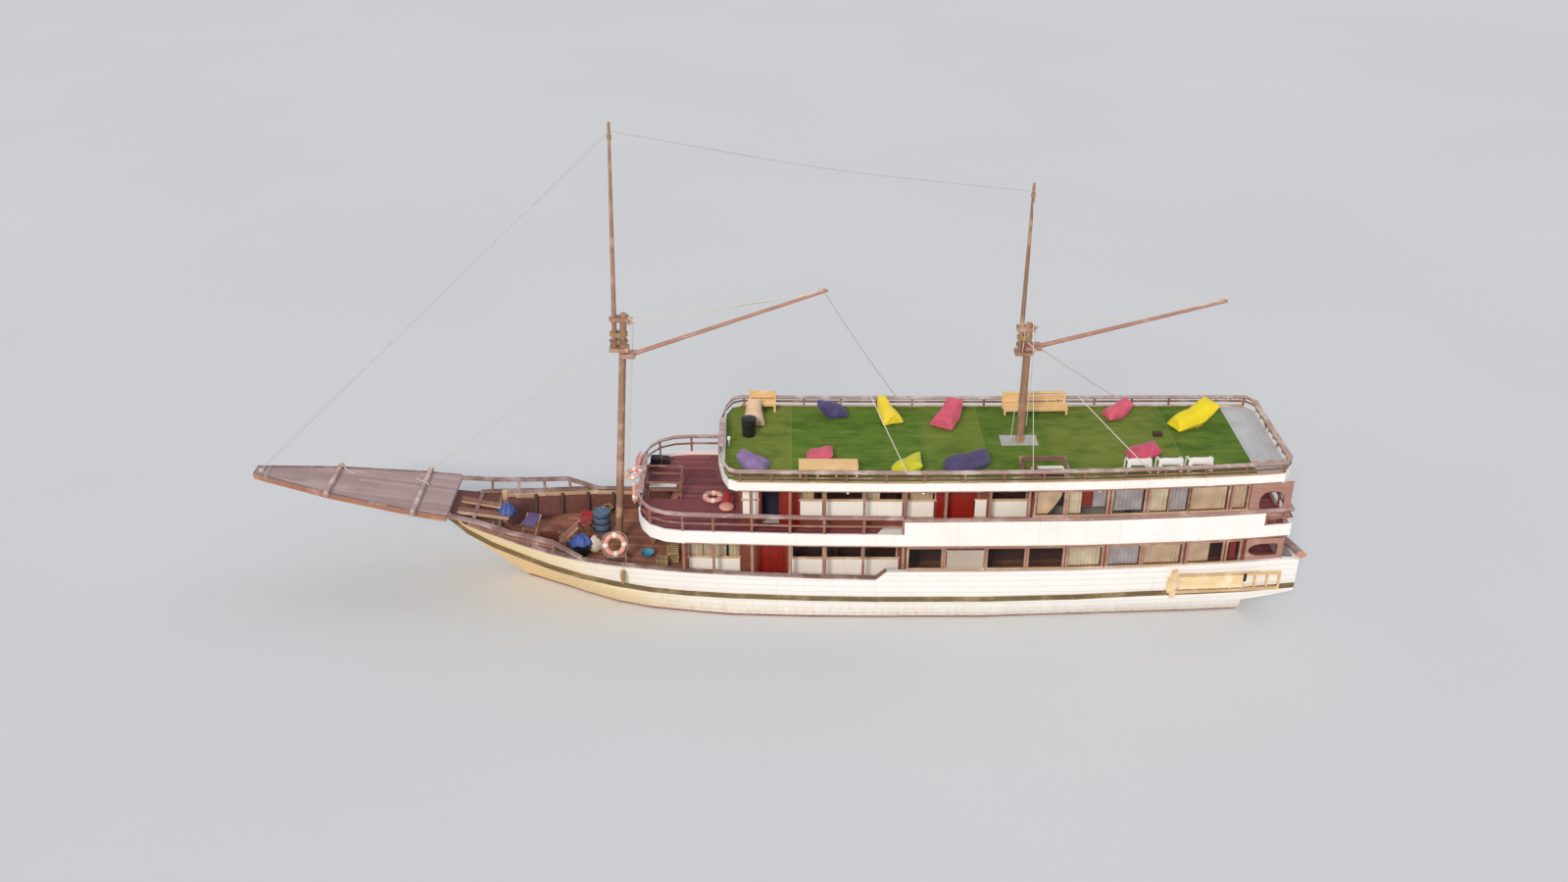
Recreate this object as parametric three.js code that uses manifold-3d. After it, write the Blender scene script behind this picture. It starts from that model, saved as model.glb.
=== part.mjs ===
// Phinisi schooner with two house decks, an open sun deck, a long bow platform and two pole masts.
// Millimetres. +X runs aft, +Y to starboard, +Z up. The origin is on the waterline, in the
// middle of the hull's length.
import * as THREE from 'three';
import { mergeVertices } from 'three/addons/utils/BufferGeometryUtils.js';
import Module from 'manifold-3d';

const wasm = await Module();
wasm.setup();

// Running gap between pieces that touch
const gap = 0.3;

// Hull frames: place, bottom of keel or stem, rub rail, top of hull, main deck,
// half breadths at rub rail and top, and the fullness and hollowness of the section below the rub rail
const frameColumns = ['x', 'keel', 'rub', 'top', 'deck', 'halfRub', 'halfTop', 'full', 'hollow'];
const frameRows = [
  [-13900, 2390, 2590, 2780, 2700, 100, 130, 1.0, 1.0],
  [-13600, 2240, 2440, 2770, 2700, 250, 450, 0.9, 1.0],
  [-13300, 1940, 2320, 2740, 2600, 420, 720, 0.8, 1.0],
  [-12800, 1430, 2050, 2500, 2000, 700, 1030, 0.7, 1.0],
  [-12000, 760, 1740, 2360, 1490, 980, 1350, 0.6, 1.0],
  [-11000, -60, 1520, 2180, 1390, 1340, 1700, 0.6, 1.0],
  [-10100, -850, 1360, 2050, 1330, 1690, 2010, 0.7, 1.0],
  [-9100, -1350, 1210, 1940, 1275, 1990, 2270, 0.95, 1.0],
  [-8000, -1650, 1080, 1850, 1220, 2220, 2400, 1.3, 1.0],
  [-6900, -1780, 950, 1775, 1170, 2350, 2490, 1.6, 1.02],
  [-5800, -1830, 890, 1710, 1125, 2450, 2560, 1.78, 1.05],
  [-4400, -1860, 850, 1650, 1080, 2540, 2620, 2.2, 1.1],
  [-2000, -1880, 810, 1565, 1025, 2620, 2670, 2.3, 1.2],
  [0, -1900, 800, 1530, 1000, 2660, 2700, 2.25, 1.3],
  [300, -1900, 800, 1800, 1000, 2660, 2700, 2.25, 1.3],
  [3400, -1900, 820, 1805, 1010, 2680, 2705, 2.15, 1.3],
  [6200, -1900, 890, 1850, 1040, 2660, 2690, 1.95, 1.5],
  [8200, -1900, 970, 1910, 1075, 2600, 2640, 2.05, 1.75],
  [9900, -1900, 1000, 1990, 1115, 2530, 2580, 2.15, 2.0],
  [11400, -1900, 1020, 2040, 1155, 2430, 2490, 2.3, 2.5],
  [12300, -1900, 1050, 2090, 1180, 2340, 2400, 2.3, 2.5],
  [13000, -1900, 1070, 2010, 1200, 2250, 2310, 2.3, 2.5],
];
const frames = frameRows.map((row) => Object.fromEntries(row.map((v, i) => [frameColumns[i], v])));

// Section points below the rub rail, as fractions of the height from keel to rub rail
const sectionSteps = [0, 0.1, 0.22, 0.36, 0.5, 0.64, 0.78, 0.9, 1];
const keelHalf = 80;
const rubHalfHeight = 90;
const rubThick = 70;

// Hull ends, well and engine room
const sternpostX = 11400;
const transomX = 13000;
const counterLow = { start: 580, end: 850 };
const bulwarkThick = 160;
const wellStart = -12000;
const wellEnd = 12840;
const plankThick = 50;
const engineRoom = { x0: 3500, x1: 6700, half: 1050, floor: -700 };
const engine = { x0: 4000, x1: 6100, half: 450, high: 1150 };

// Levels above the waterline where the deck edges are lowest, near x = 1000
const lowest = 1000;
const upperFloor = 2980;
const upperSlab = 100;
const upperBandLow = 2690;
const upperBandTop = 3120;
const bulwarkTop = 3560;
const upperRailTop = 3670;
const sunFloor = 4830;
const sunSlab = 90;
const sunBandLow = 4530;
const sunBandTop = 4840;
const sunRailTop = 5160;
const beamDeep = 100;
const edgeThick = 60;
const turfThick = 22;

// Plan outlines of the two upper decks: place and half width
const upperPlan = [[-7300, 1250], [-7150, 1800], [-6870, 2230], [-6400, 2480], [-5800, 2570], [-2000, 2665],
  [1000, 2690], [6200, 2670], [9900, 2540], [11400, 2440], [12550, 2330]];
const sunPlan = [[-4800, 950], [-4650, 1900], [-4450, 2420], [-4200, 2560], [1000, 2570], [6200, 2520],
  [9900, 2400], [11400, 2330], [12120, 2265], [12380, 1900]];

// Houses: wall faces, ends and wall thickness
const wall = 60;
const insetHalf = 1950;
const lowerHouse = { front: -5900, wide: 900, aft: 11160, end: 12350 };
const upperHouse = { front: -4150, wide: 4640, aft: 11160, end: 12120 };

// Posts of the side galleries and the beams above the aft cabins
const postX = [-5860, -4940, -3770, -2620, -1590, -390, 820, 2050, 3370, 4540];
const aftBeamX = [5900, 7150, 8400, 9650, 10900];
const post = 80;
const frontPostY = [-1150, -400, 400, 1150];

// Window and panel openings: from, to, sill, head. Levels rise with the decks.
const lowerSideWindows = [[-5720, -5040], [-4960, -4200], [-2540, -1610], [-1490, -410], [-330, 660]];
const lowerSideSill = 1800;
const lowerSideHead = 2500;
const lowerAftWindows = [[980, 1990], [2110, 3290], [3380, 4510], [4630, 5670], [5820, 6860], [7040, 8020],
  [8140, 9300], [9480, 10550], [10700, 11080]];
const lowerAftSill = 1900;
const lowerAftHead = 2600;
const upperSideWindows = [[-4040, -3600], [-2300, -1640], [-1520, -420], [-320, 780], [940, 1760], [3460, 4520]];
const upperSideSill = 3760;
const upperSideHead = 4420;
const upperAftWindows = [[4740, 5580], [5700, 6870], [7040, 8000], [8150, 9320], [9380, 10510], [10660, 11100]];
const upperAftSill = 3660;
const upperAftHead = 4480;
const sternOpenings = { lower: [11340, 12250, 2190, 2620], upper: [11480, 12060, 3640, 4330] };

// Doors: where the clear opening starts and ends, floor and head
const leaf = 35;
const doorClear = 6;
const lowerDoor = { from: -3500, to: -2800, head: 2640 };
const cabinDoor = { from: 2180, to: 2960, head: 4480 };
const slidingDoor = { from: -3480, to: -2950, head: 4430 };
const hingeRadius = 12.7;

// Bow platform: place along the bow, half width, and the height of its top
const platformPlan = [[-19400, 240], [-17000, 830], [-14270, 1240], [-13260, 1300]];
const platformThick = 130;
const platformTop = (x) => 2950 + (-13300 - x) * 0.15;
const crossbeams = [[-17000, 970], [-14270, 1450]];
const crossbeamSize = 130;
const bearer = { x0: -13600, x1: -13340, half: 360 };

// Masts: foot and head of the lower mast, heel and head of the topmast, radii
const foreMast = { foot: [-8130, 1160], head: [-7580, 9190], topHeel: [-7895, 8120], topHead: [-7700, 14970] };
const mainMast = { foot: [4530, 4850], head: [4530, 8880], topHeel: [4308, 8000], topHead: [4330, 13210] };
const lowerRadius = { foot: 125, head: 105 };
const topRadius = { heel: 78, head: 42 };
const foreGaff = { heel: [-7440, 7850], peak: [-1500, 9940] };
const mainGaff = { heel: [4780, 8110], peak: [10350, 9600] };
const gaffRadius = { heel: 70, peak: 45 };
const jawClear = 0.5;
const trestleHalf = 60;
const shelfDeep = 40;
const mastPlate = { x: 4510, y: 60, long: 1150, wide: 650, thick: 30 };
const stayRadius = 14;

// Rudder and propeller
const shaftZ = -950;
const aperture = { x0: 10250, x1: 11150, low: -1720, high: -330 };
const propRadius = 520;
const rudderAxisX = 11560;

const materials = {
  white: { color: 0xe9e6da, roughness: 0.55 },
  brown: { color: 0x6e4a3c, roughness: 0.7 },
  plank: { color: 0x8a6658, roughness: 0.85 },
  olive: { color: 0x4b4633, roughness: 0.8 },
  redDoor: { color: 0x9a1f1c, roughness: 0.5 },
  turf: { color: 0x2f7d22, roughness: 0.95 },
  steel: { color: 0x8f9496, roughness: 0.45, metalness: 0.6 },
  bronze: { color: 0x9c7a3e, roughness: 0.4, metalness: 0.8 },
  cable: { color: 0xc9ccca, roughness: 0.5 },
  pale: { color: 0xd9b98a, roughness: 0.75 },
  plastic: { color: 0xf2f3f1, roughness: 0.4 },
  blue: { color: 0x2f5878, roughness: 0.5 },
  black: { color: 0x1c1c1e, roughness: 0.6 },
};
for (const [name, values] of Object.entries(materials)) materials[name] = new THREE.MeshStandardMaterial(values);

const object = new THREE.Group();

// Straight lines between the rows of a table
function along(rows) {
  const line = (x) => {
    let i = 0;
    while (i < rows.length - 2 && x > rows[i + 1][0]) i += 1;
    const [x0, v0] = rows[i];
    const [x1, v1] = rows[i + 1];
    const t = THREE.MathUtils.clamp((x - x0) / (x1 - x0), 0, 1);
    return v0 + (v1 - v0) * t;
  };
  line.stations = rows.map((row) => row[0]);
  return line;
}

// A line worked out from others bends where they bend
const bends = (value) => value.stations ?? [];
function derive(formula, ...parents) {
  formula.stations = parents.flatMap(bends);
  return formula;
}
const at = (value, x) => (typeof value === 'function' ? value(x) : value);
const offset = (line, by) => derive((x) => at(line, x) + by, line);
const mirror = (line, side) => derive((x) => side * at(line, x), line);

const hullLine = (column) => along(frames.map((f) => [f.x, f[column]]));
const deckLine = hullLine('deck');
const topLine = hullLine('top');
const rubLine = hullLine('rub');
const halfRubLine = hullLine('halfRub');
const halfTopLine = hullLine('halfTop');

// The sheer of the upper decks is a parabola, straight between the hull frames
const riseStations = [-13900, -10000, -7300, -4800, -2000, 1000, 4000, 7000, 10000, 13000];
const rise = along(riseStations.map((x) => [x, 1.4e-6 * (x - lowest) ** 2]));
const level = (z) => offset(rise, z);
const upperHalf = along(upperPlan);
const sunHalf = along(sunPlan);
const platformHalf = along(platformPlan);

// A long piece is split wherever one of its lines bends, so that neighbours stay parallel
function between(x0, x1, ...lines) {
  const inside = lines.flatMap(bends).filter((x) => x > x0 + 1 && x < x1 - 1);
  return [...new Set([x0, ...inside, x1])].sort((a, b) => a - b);
}

// Solid from vertices and triangles, turned the right way out
function closed(vertices, triangles) {
  let volume = 0;
  const [a, b, c] = [new THREE.Vector3(), new THREE.Vector3(), new THREE.Vector3()];
  for (const [i, j, k] of triangles) {
    a.fromArray(vertices[i]);
    b.fromArray(vertices[j]);
    c.fromArray(vertices[k]);
    volume += a.dot(b.cross(c));
  }
  const facing = volume < 0 ? triangles.map(([i, j, k]) => [i, k, j]) : triangles;
  const mesh = new wasm.Mesh({
    numProp: 3,
    vertProperties: new Float32Array(vertices.flat()),
    triVerts: new Uint32Array(facing.flat()),
  });
  return new wasm.Manifold(mesh);
}

// Solid through one closed section for each x; all sections have the same number of points
function loft(xs, sectionAt) {
  const rows = xs.map((x) => sectionAt(x));
  const n = rows[0].length;
  const vertices = rows.flatMap((row, i) => row.map(([y, z]) => [xs[i], y, z]));
  const triangles = [];
  for (let i = 0; i < xs.length - 1; i += 1) {
    for (let j = 0; j < n; j += 1) {
      const a = i * n + j;
      const b = i * n + ((j + 1) % n);
      triangles.push([a, b, b + n], [a, b + n, a + n]);
    }
  }
  for (const end of [0, 1]) {
    const row = rows[end * (rows.length - 1)];
    const first = end * (rows.length - 1) * n;
    if (n === 4) {
      const [a, b, c, d] = [0, 1, 2, 3].map((j) => first + j);
      triangles.push(...(end === 1 ? [[a, b, c], [a, c, d]] : [[c, b, a], [d, c, a]]));
      continue;
    }
    const middle = [0, 1].map((k) => row.reduce((sum, point) => sum + point[k], 0) / n);
    const centre = vertices.push([xs[end * (rows.length - 1)], ...middle]) - 1;
    for (let j = 0; j < n; j += 1) {
      const [a, b] = [first + j, first + ((j + 1) % n)];
      triangles.push(end === 1 ? [a, b, centre] : [b, a, centre]);
    }
  }
  return closed(vertices, triangles);
}

// Bar whose four faces may each follow a line along the ship
function bar(x0, x1, y0, y1, z0, z1) {
  return loft(between(x0, x1, y0, y1, z0, z1), (x) => [
    [at(y0, x), at(z0, x)], [at(y1, x), at(z0, x)], [at(y1, x), at(z1, x)], [at(y0, x), at(z1, x)],
  ]);
}

function block(x0, x1, y0, y1, z0, z1) {
  return loft([x0, x1], () => [[y0, z0], [y1, z0], [y1, z1], [y0, z1]]);
}

const highest = (line, x, reach) => Math.max(at(line, x - reach), at(line, x), at(line, x + reach));
const narrowest = (line, x, reach) => Math.min(at(line, x - reach), at(line, x), at(line, x + reach));

function fuse(...solids) {
  return solids.flat().reduce((whole, piece) => whole.add(piece));
}

function cut(solid, ...cutters) {
  return cutters.flat().reduce((whole, piece) => whole.subtract(piece), solid);
}

function fromGeometry(geometry) {
  geometry.deleteAttribute('normal');
  geometry.deleteAttribute('uv');
  const merged = mergeVertices(geometry, 1e-3);
  return new wasm.Manifold(new wasm.Mesh({
    numProp: 3,
    vertProperties: new Float32Array(merged.attributes.position.array),
    triVerts: new Uint32Array(merged.index.array),
  }));
}

// Round bar between two points, with its own radius at each; the corners start at an angle
function rod(from, to, r0, r1 = r0, sides = 10, corner = 0) {
  const a = new THREE.Vector3(...from);
  const b = new THREE.Vector3(...to);
  const geometry = new THREE.CylinderGeometry(r1, r0, a.distanceTo(b), sides, 1, false, corner);
  const turn = new THREE.Quaternion().setFromUnitVectors(
    new THREE.Vector3(0, 1, 0),
    b.clone().sub(a).normalize(),
  );
  geometry.applyQuaternion(turn);
  geometry.translate(...a.add(b).multiplyScalar(0.5).toArray());
  return fromGeometry(geometry);
}

// Squared beam between two points, its width across the ship
function beam(from, to, wide, deep) {
  const a = new THREE.Vector3(...from);
  const b = new THREE.Vector3(...to);
  const geometry = new THREE.BoxGeometry(a.distanceTo(b), wide, deep);
  const turn = new THREE.Quaternion().setFromUnitVectors(
    new THREE.Vector3(1, 0, 0),
    b.clone().sub(a).normalize(),
  );
  geometry.applyQuaternion(turn);
  geometry.translate(...a.add(b).multiplyScalar(0.5).toArray());
  return fromGeometry(geometry);
}

function add(name, solid, material) {
  const data = solid.getMesh();
  const geometry = new THREE.BufferGeometry();
  geometry.setAttribute('position', new THREE.BufferAttribute(new Float32Array(data.vertProperties), 3));
  geometry.setIndex(new THREE.BufferAttribute(new Uint32Array(data.triVerts), 1));
  const mesh = new THREE.Mesh(geometry, materials[material]);
  mesh.name = name;
  object.add(mesh);
}

const sides = [['port', -1], ['starboard', 1]];

// Hull half breadth at a height, straight between the section's points
function sectionPoints(x) {
  const keel = hullLine('keel')(x);
  const low = rubLine(x) - rubHalfHeight;
  const points = sectionSteps.map((f) => {
    const part = (1 - (1 - f) ** hullLine('full')(x)) ** hullLine('hollow')(x);
    const half = keelHalf + (halfRubLine(x) - keelHalf) * part;
    return [f === 0 ? Math.min(keelHalf, half) : half, keel + (low - keel) * f];
  });
  points.push([halfRubLine(x) + 12, rubLine(x) + rubHalfHeight]);
  points.push([halfTopLine(x), topLine(x)]);
  return points;
}

function hullHalf(x, z) {
  const rows = sectionPoints(x).map(([half, height]) => [height, half]);
  return along(rows)(z);
}

// Outside of the hull from keel to bulwark top, as if it were full
function hullBody() {
  return loft(between(frames[0].x, transomX, topLine), (x) => {
    const points = sectionPoints(x);
    return [...points, ...points.map(([y, z]) => [-y, z]).reverse()];
  });
}

// All that stands above the line where the bulwark is built on the hull
const hullSeam = offset(deckLine, -plankThick);
function aboveSeam(lift) {
  return bar(wellStart + lift, transomX + 100, -3000, 3000, offset(hullSeam, lift), offset(topLine, 900));
}

// Bulwark on both sides and across the stern, round the main deck
function buildBulwark() {
  const well = loft(between(wellStart - 100, wellEnd, topLine), (x) => {
    const floor = hullSeam(x);
    const knuckle = Math.max(floor + 90, rubLine(x) + rubHalfHeight + 60);
    const side = [
      [hullHalf(x, floor) - bulwarkThick, floor],
      [hullHalf(x, knuckle) - bulwarkThick, knuckle],
      [halfTopLine(x) - bulwarkThick, topLine(x)],
      [halfTopLine(x) - bulwarkThick, topLine(x) + 900],
    ];
    return [...side, ...side.map(([y, z]) => [-y, z]).reverse()];
  });
  return cut(hullBody().intersect(aboveSeam(gap)), well);
}

// Hull with its stem and keel, counter, engine room and propeller aperture
function buildHull() {
  const underCounter = bar(sternpostX, transomX + 100, -2600, 2600, -2500,
    along([[sternpostX, counterLow.start], [transomX + 100, counterLow.end]]));
  const room = block(engineRoom.x0, engineRoom.x1, -engineRoom.half, engineRoom.half, engineRoom.floor, 1300);
  const gate = block(aperture.x0, sternpostX + 300, -900, 900, aperture.low, aperture.high);
  const tube = rod([aperture.x0 - 200, 0, shaftZ], [aperture.x0 + 120, 0, shaftZ], 120, 105, 12);
  const heel = block(aperture.x0 - 400, rudderAxisX + 160, -keelHalf, keelHalf, -1900, aperture.low);
  return fuse(cut(hullBody(), underCounter, aboveSeam(0), room, gate), tube, heel);
}

function rubRail(side) {
  const xs = between(-13600, transomX - 20, rubLine);
  return loft(xs, (x) => {
    const low = rubLine(x) - rubHalfHeight;
    const high = rubLine(x) + rubHalfHeight;
    return [
      [side * (halfRubLine(x) + gap), low],
      [side * (halfRubLine(x) + rubThick), low + 20],
      [side * (halfRubLine(x) + rubThick + 12), high - 20],
      [side * (halfRubLine(x) + 12 + gap), high],
    ];
  });
}

// Cap board on the low part of the hull's side, with the wide plank of the foredeck's open rail above it
const capThick = 45;
const openRail = along([[-13260, 2940], [-12650, 2860], [-11260, 2620], [-9940, 2475], [-9000, 2010]]);
const openRailHalf = along([[-13260, 1300], [-12300, 1440], [-11260, 1750], [-10100, 2030], [-9000, 2275]]);
const openRailPlank = { wide: 190, thick: 70 };
const openRailPosts = [-12300, -11500, -10700, -9900];
function bowRail(side) {
  const inner = offset(halfTopLine, -bulwarkThick - 15);
  const outer = offset(halfTopLine, 25);
  const board = bar(-12650, -20, mirror(inner, side), mirror(outer, side),
    offset(topLine, gap), offset(topLine, capThick));
  const railIn = offset(openRailHalf, -openRailPlank.wide);
  const rail = bar(-13260 + gap, -9000, mirror(railIn, side), mirror(openRailHalf, side),
    offset(openRail, -openRailPlank.thick), openRail);
  const posts = openRailPosts.map((x) => {
    const foot = side * (halfTopLine(x) - 60);
    const head = side * (openRailHalf(x) - openRailPlank.wide / 2);
    const [low, high] = [topLine(x) + 12, openRail(x) - 35];
    return loft([x - 40, x + 40], () => [[foot - 40, low], [foot + 40, low], [head + 40, high], [head - 40, high]]);
  });
  return fuse(board, rail, posts);
}

function buildMainDeck() {
  const half = derive((x) => hullHalf(x, deckLine(x) - plankThick) - bulwarkThick - 1, deckLine);
  return bar(wellStart + 5, wellEnd - 5, mirror(half, -1), half, offset(deckLine, gap - plankThick), deckLine);
}

// Tapered platform over the bow with its two crossbeams and the bearer on the stem head
function buildPlatform() {
  const xs = platformPlan.map((row) => row[0]);
  const plate = loft(xs, (x) => {
    const half = platformHalf(x);
    const top = platformTop(x);
    return [[-half, top - platformThick], [half, top - platformThick], [half, top], [-half, top]];
  });
  const beams = crossbeams.map(([x, half]) => {
    const top = platformTop(x) + 100;
    return block(x - crossbeamSize / 2, x + crossbeamSize / 2, -half, half, top - crossbeamSize, top);
  });
  const eye = block(-19280, -19180, -30, 30, platformTop(-19230) - 20, platformTop(-19230) + 110);
  const underside = (x) => platformTop(x) - platformThick + 30;
  const rest = bar(bearer.x0, bearer.x1, -bearer.half, bearer.half, offset(topLine, gap), underside);
  return fuse(plate, beams, eye, rest);
}

// Walls of a house: narrow between side galleries in front, full width behind
function houseWalls(house, outerHalf, floor, head, sideFloor) {
  const top = offset(head, -gap);
  const parts = [];
  for (const [, side] of sides) {
    parts.push(bar(house.front, house.wide + wall, side * (insetHalf - wall), side * insetHalf, floor, top));
    parts.push(bar(house.wide, house.wide + wall, side * (insetHalf - wall), mirror(outerHalf, side), sideFloor, top));
    parts.push(bar(house.wide, house.end, mirror(offset(outerHalf, -wall), side), mirror(outerHalf, side),
      sideFloor, top));
    parts.push(bar(house.aft, house.aft + wall, side * 380, mirror(offset(outerHalf, -1), side), sideFloor, top));
    parts.push(bar(house.aft, house.aft + wall, side * 380, side * (insetHalf - 60), floor, top));
  }
  parts.push(bar(house.aft, house.aft + wall, -420, 420, offset(top, -160), top));
  parts.push(bar(house.front, house.front + wall, -insetHalf, insetHalf, floor, top));
  return fuse(parts);
}

function wallHoles(rows, y0, y1, sill, head) {
  return rows.flatMap(([x0, x1]) => sides.map(([, side]) => (
    bar(x0, x1, side * y0, side * y1, level(sill), level(head)))));
}

function buildLowerHouse() {
  const outer = offset(upperHalf, -edgeThick - 5);
  const floor = offset(deckLine, gap);
  const head = level(upperFloor - upperSlab - beamDeep);
  const sideFloor = offset(topLine, gap);
  const walls = houseWalls(lowerHouse, outer, floor, head, sideFloor);
  const [x0, x1, sill, top] = sternOpenings.lower;
  const holes = [
    ...wallHoles(lowerSideWindows, insetHalf - 200, insetHalf + 200, lowerSideSill, lowerSideHead),
    ...wallHoles(lowerAftWindows, 2150, 2900, lowerAftSill, lowerAftHead),
    ...wallHoles([[x0, x1]], 2150, 2900, sill - rise(x0), top - rise(x0)),
    ...sides.map(([, side]) => bar(lowerDoor.from, lowerDoor.to, side * 1800, side * 2100,
      offset(deckLine, 60), level(lowerDoor.head))),
    ...[-1200, 300].map((y) => block(lowerHouse.front - 50, lowerHouse.front + 150, y, y + 900, 2000, 2600)),
  ];
  return cut(walls, holes);
}

function buildUpperHouse() {
  const outer = offset(sunHalf, -edgeThick - 5);
  const floor = level(upperFloor + gap);
  const head = level(sunFloor - sunSlab - beamDeep);
  const walls = houseWalls(upperHouse, outer, floor, head, floor);
  const [x0, x1, sill, top] = sternOpenings.upper;
  const tracks = sides.map(([, side]) => bar(slidingDoor.from - 40, slidingDoor.to + 640,
    side * (insetHalf - 10), side * (insetHalf + 60), level(slidingDoor.head + 60), level(slidingDoor.head + 110)));
  const holes = [
    ...wallHoles(upperSideWindows, insetHalf - 200, insetHalf + 200, upperSideSill, upperSideHead),
    ...wallHoles(upperAftWindows, 2050, 2900, upperAftSill, upperAftHead),
    ...wallHoles([[x0, x1]], 2050, 2900, sill - rise(x0), top - rise(x0)),
    ...[cabinDoor, slidingDoor].flatMap((door) => sides.map(([, side]) => bar(door.from, door.to,
      side * 1800, side * 2100, level(upperFloor + 60), level(door.head)))),
    ...[-1500, -600, 300].map((y) => block(upperHouse.front - 50, upperHouse.front + 150, y, y + 800, 3850, 4500)),
  ];
  return fuse(cut(walls, holes), tracks);
}

// Door leaf with two hinge barrels at the wall's inner face
function hingedLeaf(door, side, sill) {
  const axisX = door.from + hingeRadius + gap;
  const inner = insetHalf - wall;
  const low = sill + doorClear;
  const high = level(door.head)(door.to) - 40;
  const panel = block(axisX, door.to - doorClear, side * inner, side * (inner + leaf), low, high);
  const barrels = [low + 150, high - 300].map((z) => (
    rod([axisX, side * inner, z], [axisX, side * inner, z + 150], hingeRadius, hingeRadius, 8)));
  return fuse(panel, barrels);
}

function slidingLeaf(side) {
  const y = insetHalf + 8;
  const x0 = slidingDoor.to + 40;
  const low = level(upperFloor)(x0) + 55;
  const high = level(slidingDoor.head + 60 - gap);
  return block(x0, x0 + 590, side * y, side * (y + leaf), low, Math.min(high(x0), high(x0 + 590)));
}

// Posts, the carlin above them and the deck beams across
function galleryFrames(feet, lines, top, half, aftBeams) {
  const last = aftBeams[aftBeams.length - 1] + 50;
  const under = level(top - gap);
  const low = level(top - beamDeep);
  const parts = [];
  for (const [, side] of sides) {
    const outer = offset(half, -edgeThick - 1);
    parts.push(bar(lines[0] - 40, last, mirror(offset(outer, -post), side), mirror(outer, side), low, under));
    for (const x of lines) {
      const y = side * (narrowest(outer, x, post / 2) - post / 2 - 5);
      parts.push(block(x - post / 2, x + post / 2, y - post / 2, y + post / 2, highest(feet, x, post / 2), low(x) + 20));
    }
  }
  for (const x of [...lines, ...aftBeams]) {
    const y = half(x) - edgeThick - 40;
    parts.push(block(x - 50, x + 50, -y, y, highest(low, x, 50) + 8, -highest((k) => -under(k), x, 50) - 8));
  }
  return fuse(parts);
}

// Deck slab with its white edge band
function edgedDeck(x0, x1, half, floor, slab, bandLow, bandTop) {
  const plate = bar(x0, x1, mirror(half, -1), half, level(floor - slab), level(floor));
  const outer = bar(x0, x1, mirror(half, -1), half, level(bandLow), level(bandTop));
  const inside = offset(half, -edgeThick);
  const inner = bar(x0 + edgeThick, x1 - edgeThick, mirror(inside, -1), inside,
    level(bandLow - 50), level(bandTop + 50));
  return fuse(plate, cut(outer, inner));
}

// Ring that follows a deck's edge: its depth inwards and its height
function edgeRing(x0, x1, half, deep, z0, z1, closeAft) {
  const outer = bar(x0, x1, mirror(half, -1), half, level(z0), level(z1));
  const inside = offset(half, -deep);
  const inner = bar(x0 + deep, closeAft ? x1 - deep : x1 + 10, mirror(inside, -1), inside,
    level(z0 - 50), level(z1 + 50));
  return cut(outer, inner);
}

const upperEnds = [upperPlan[0][0], upperPlan[upperPlan.length - 1][0]];
const sunEnds = [sunPlan[0][0], sunPlan[sunPlan.length - 1][0]];
const stairWell = { x0: -7100, x1: -6080, y0: -420, y1: 560 };
const hatch = { x0: 4680, x1: 5600, y0: -2290, y1: -1560 };
const whiteBulwark = { x0: 820, x1: 11700 };

function buildUpperDeck() {
  const deck = edgedDeck(...upperEnds, upperHalf, upperFloor, upperSlab, upperBandLow, upperBandTop);
  const bulwarks = sides.map(([, side]) => bar(whiteBulwark.x0, whiteBulwark.x1,
    mirror(offset(upperHalf, -edgeThick), side), mirror(upperHalf, side),
    level(upperBandTop - 10), level(bulwarkTop)));
  const opening = block(stairWell.x0, stairWell.x1, stairWell.y0, stairWell.y1, 2700, 3300);
  return cut(fuse(deck, bulwarks), opening);
}

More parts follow.
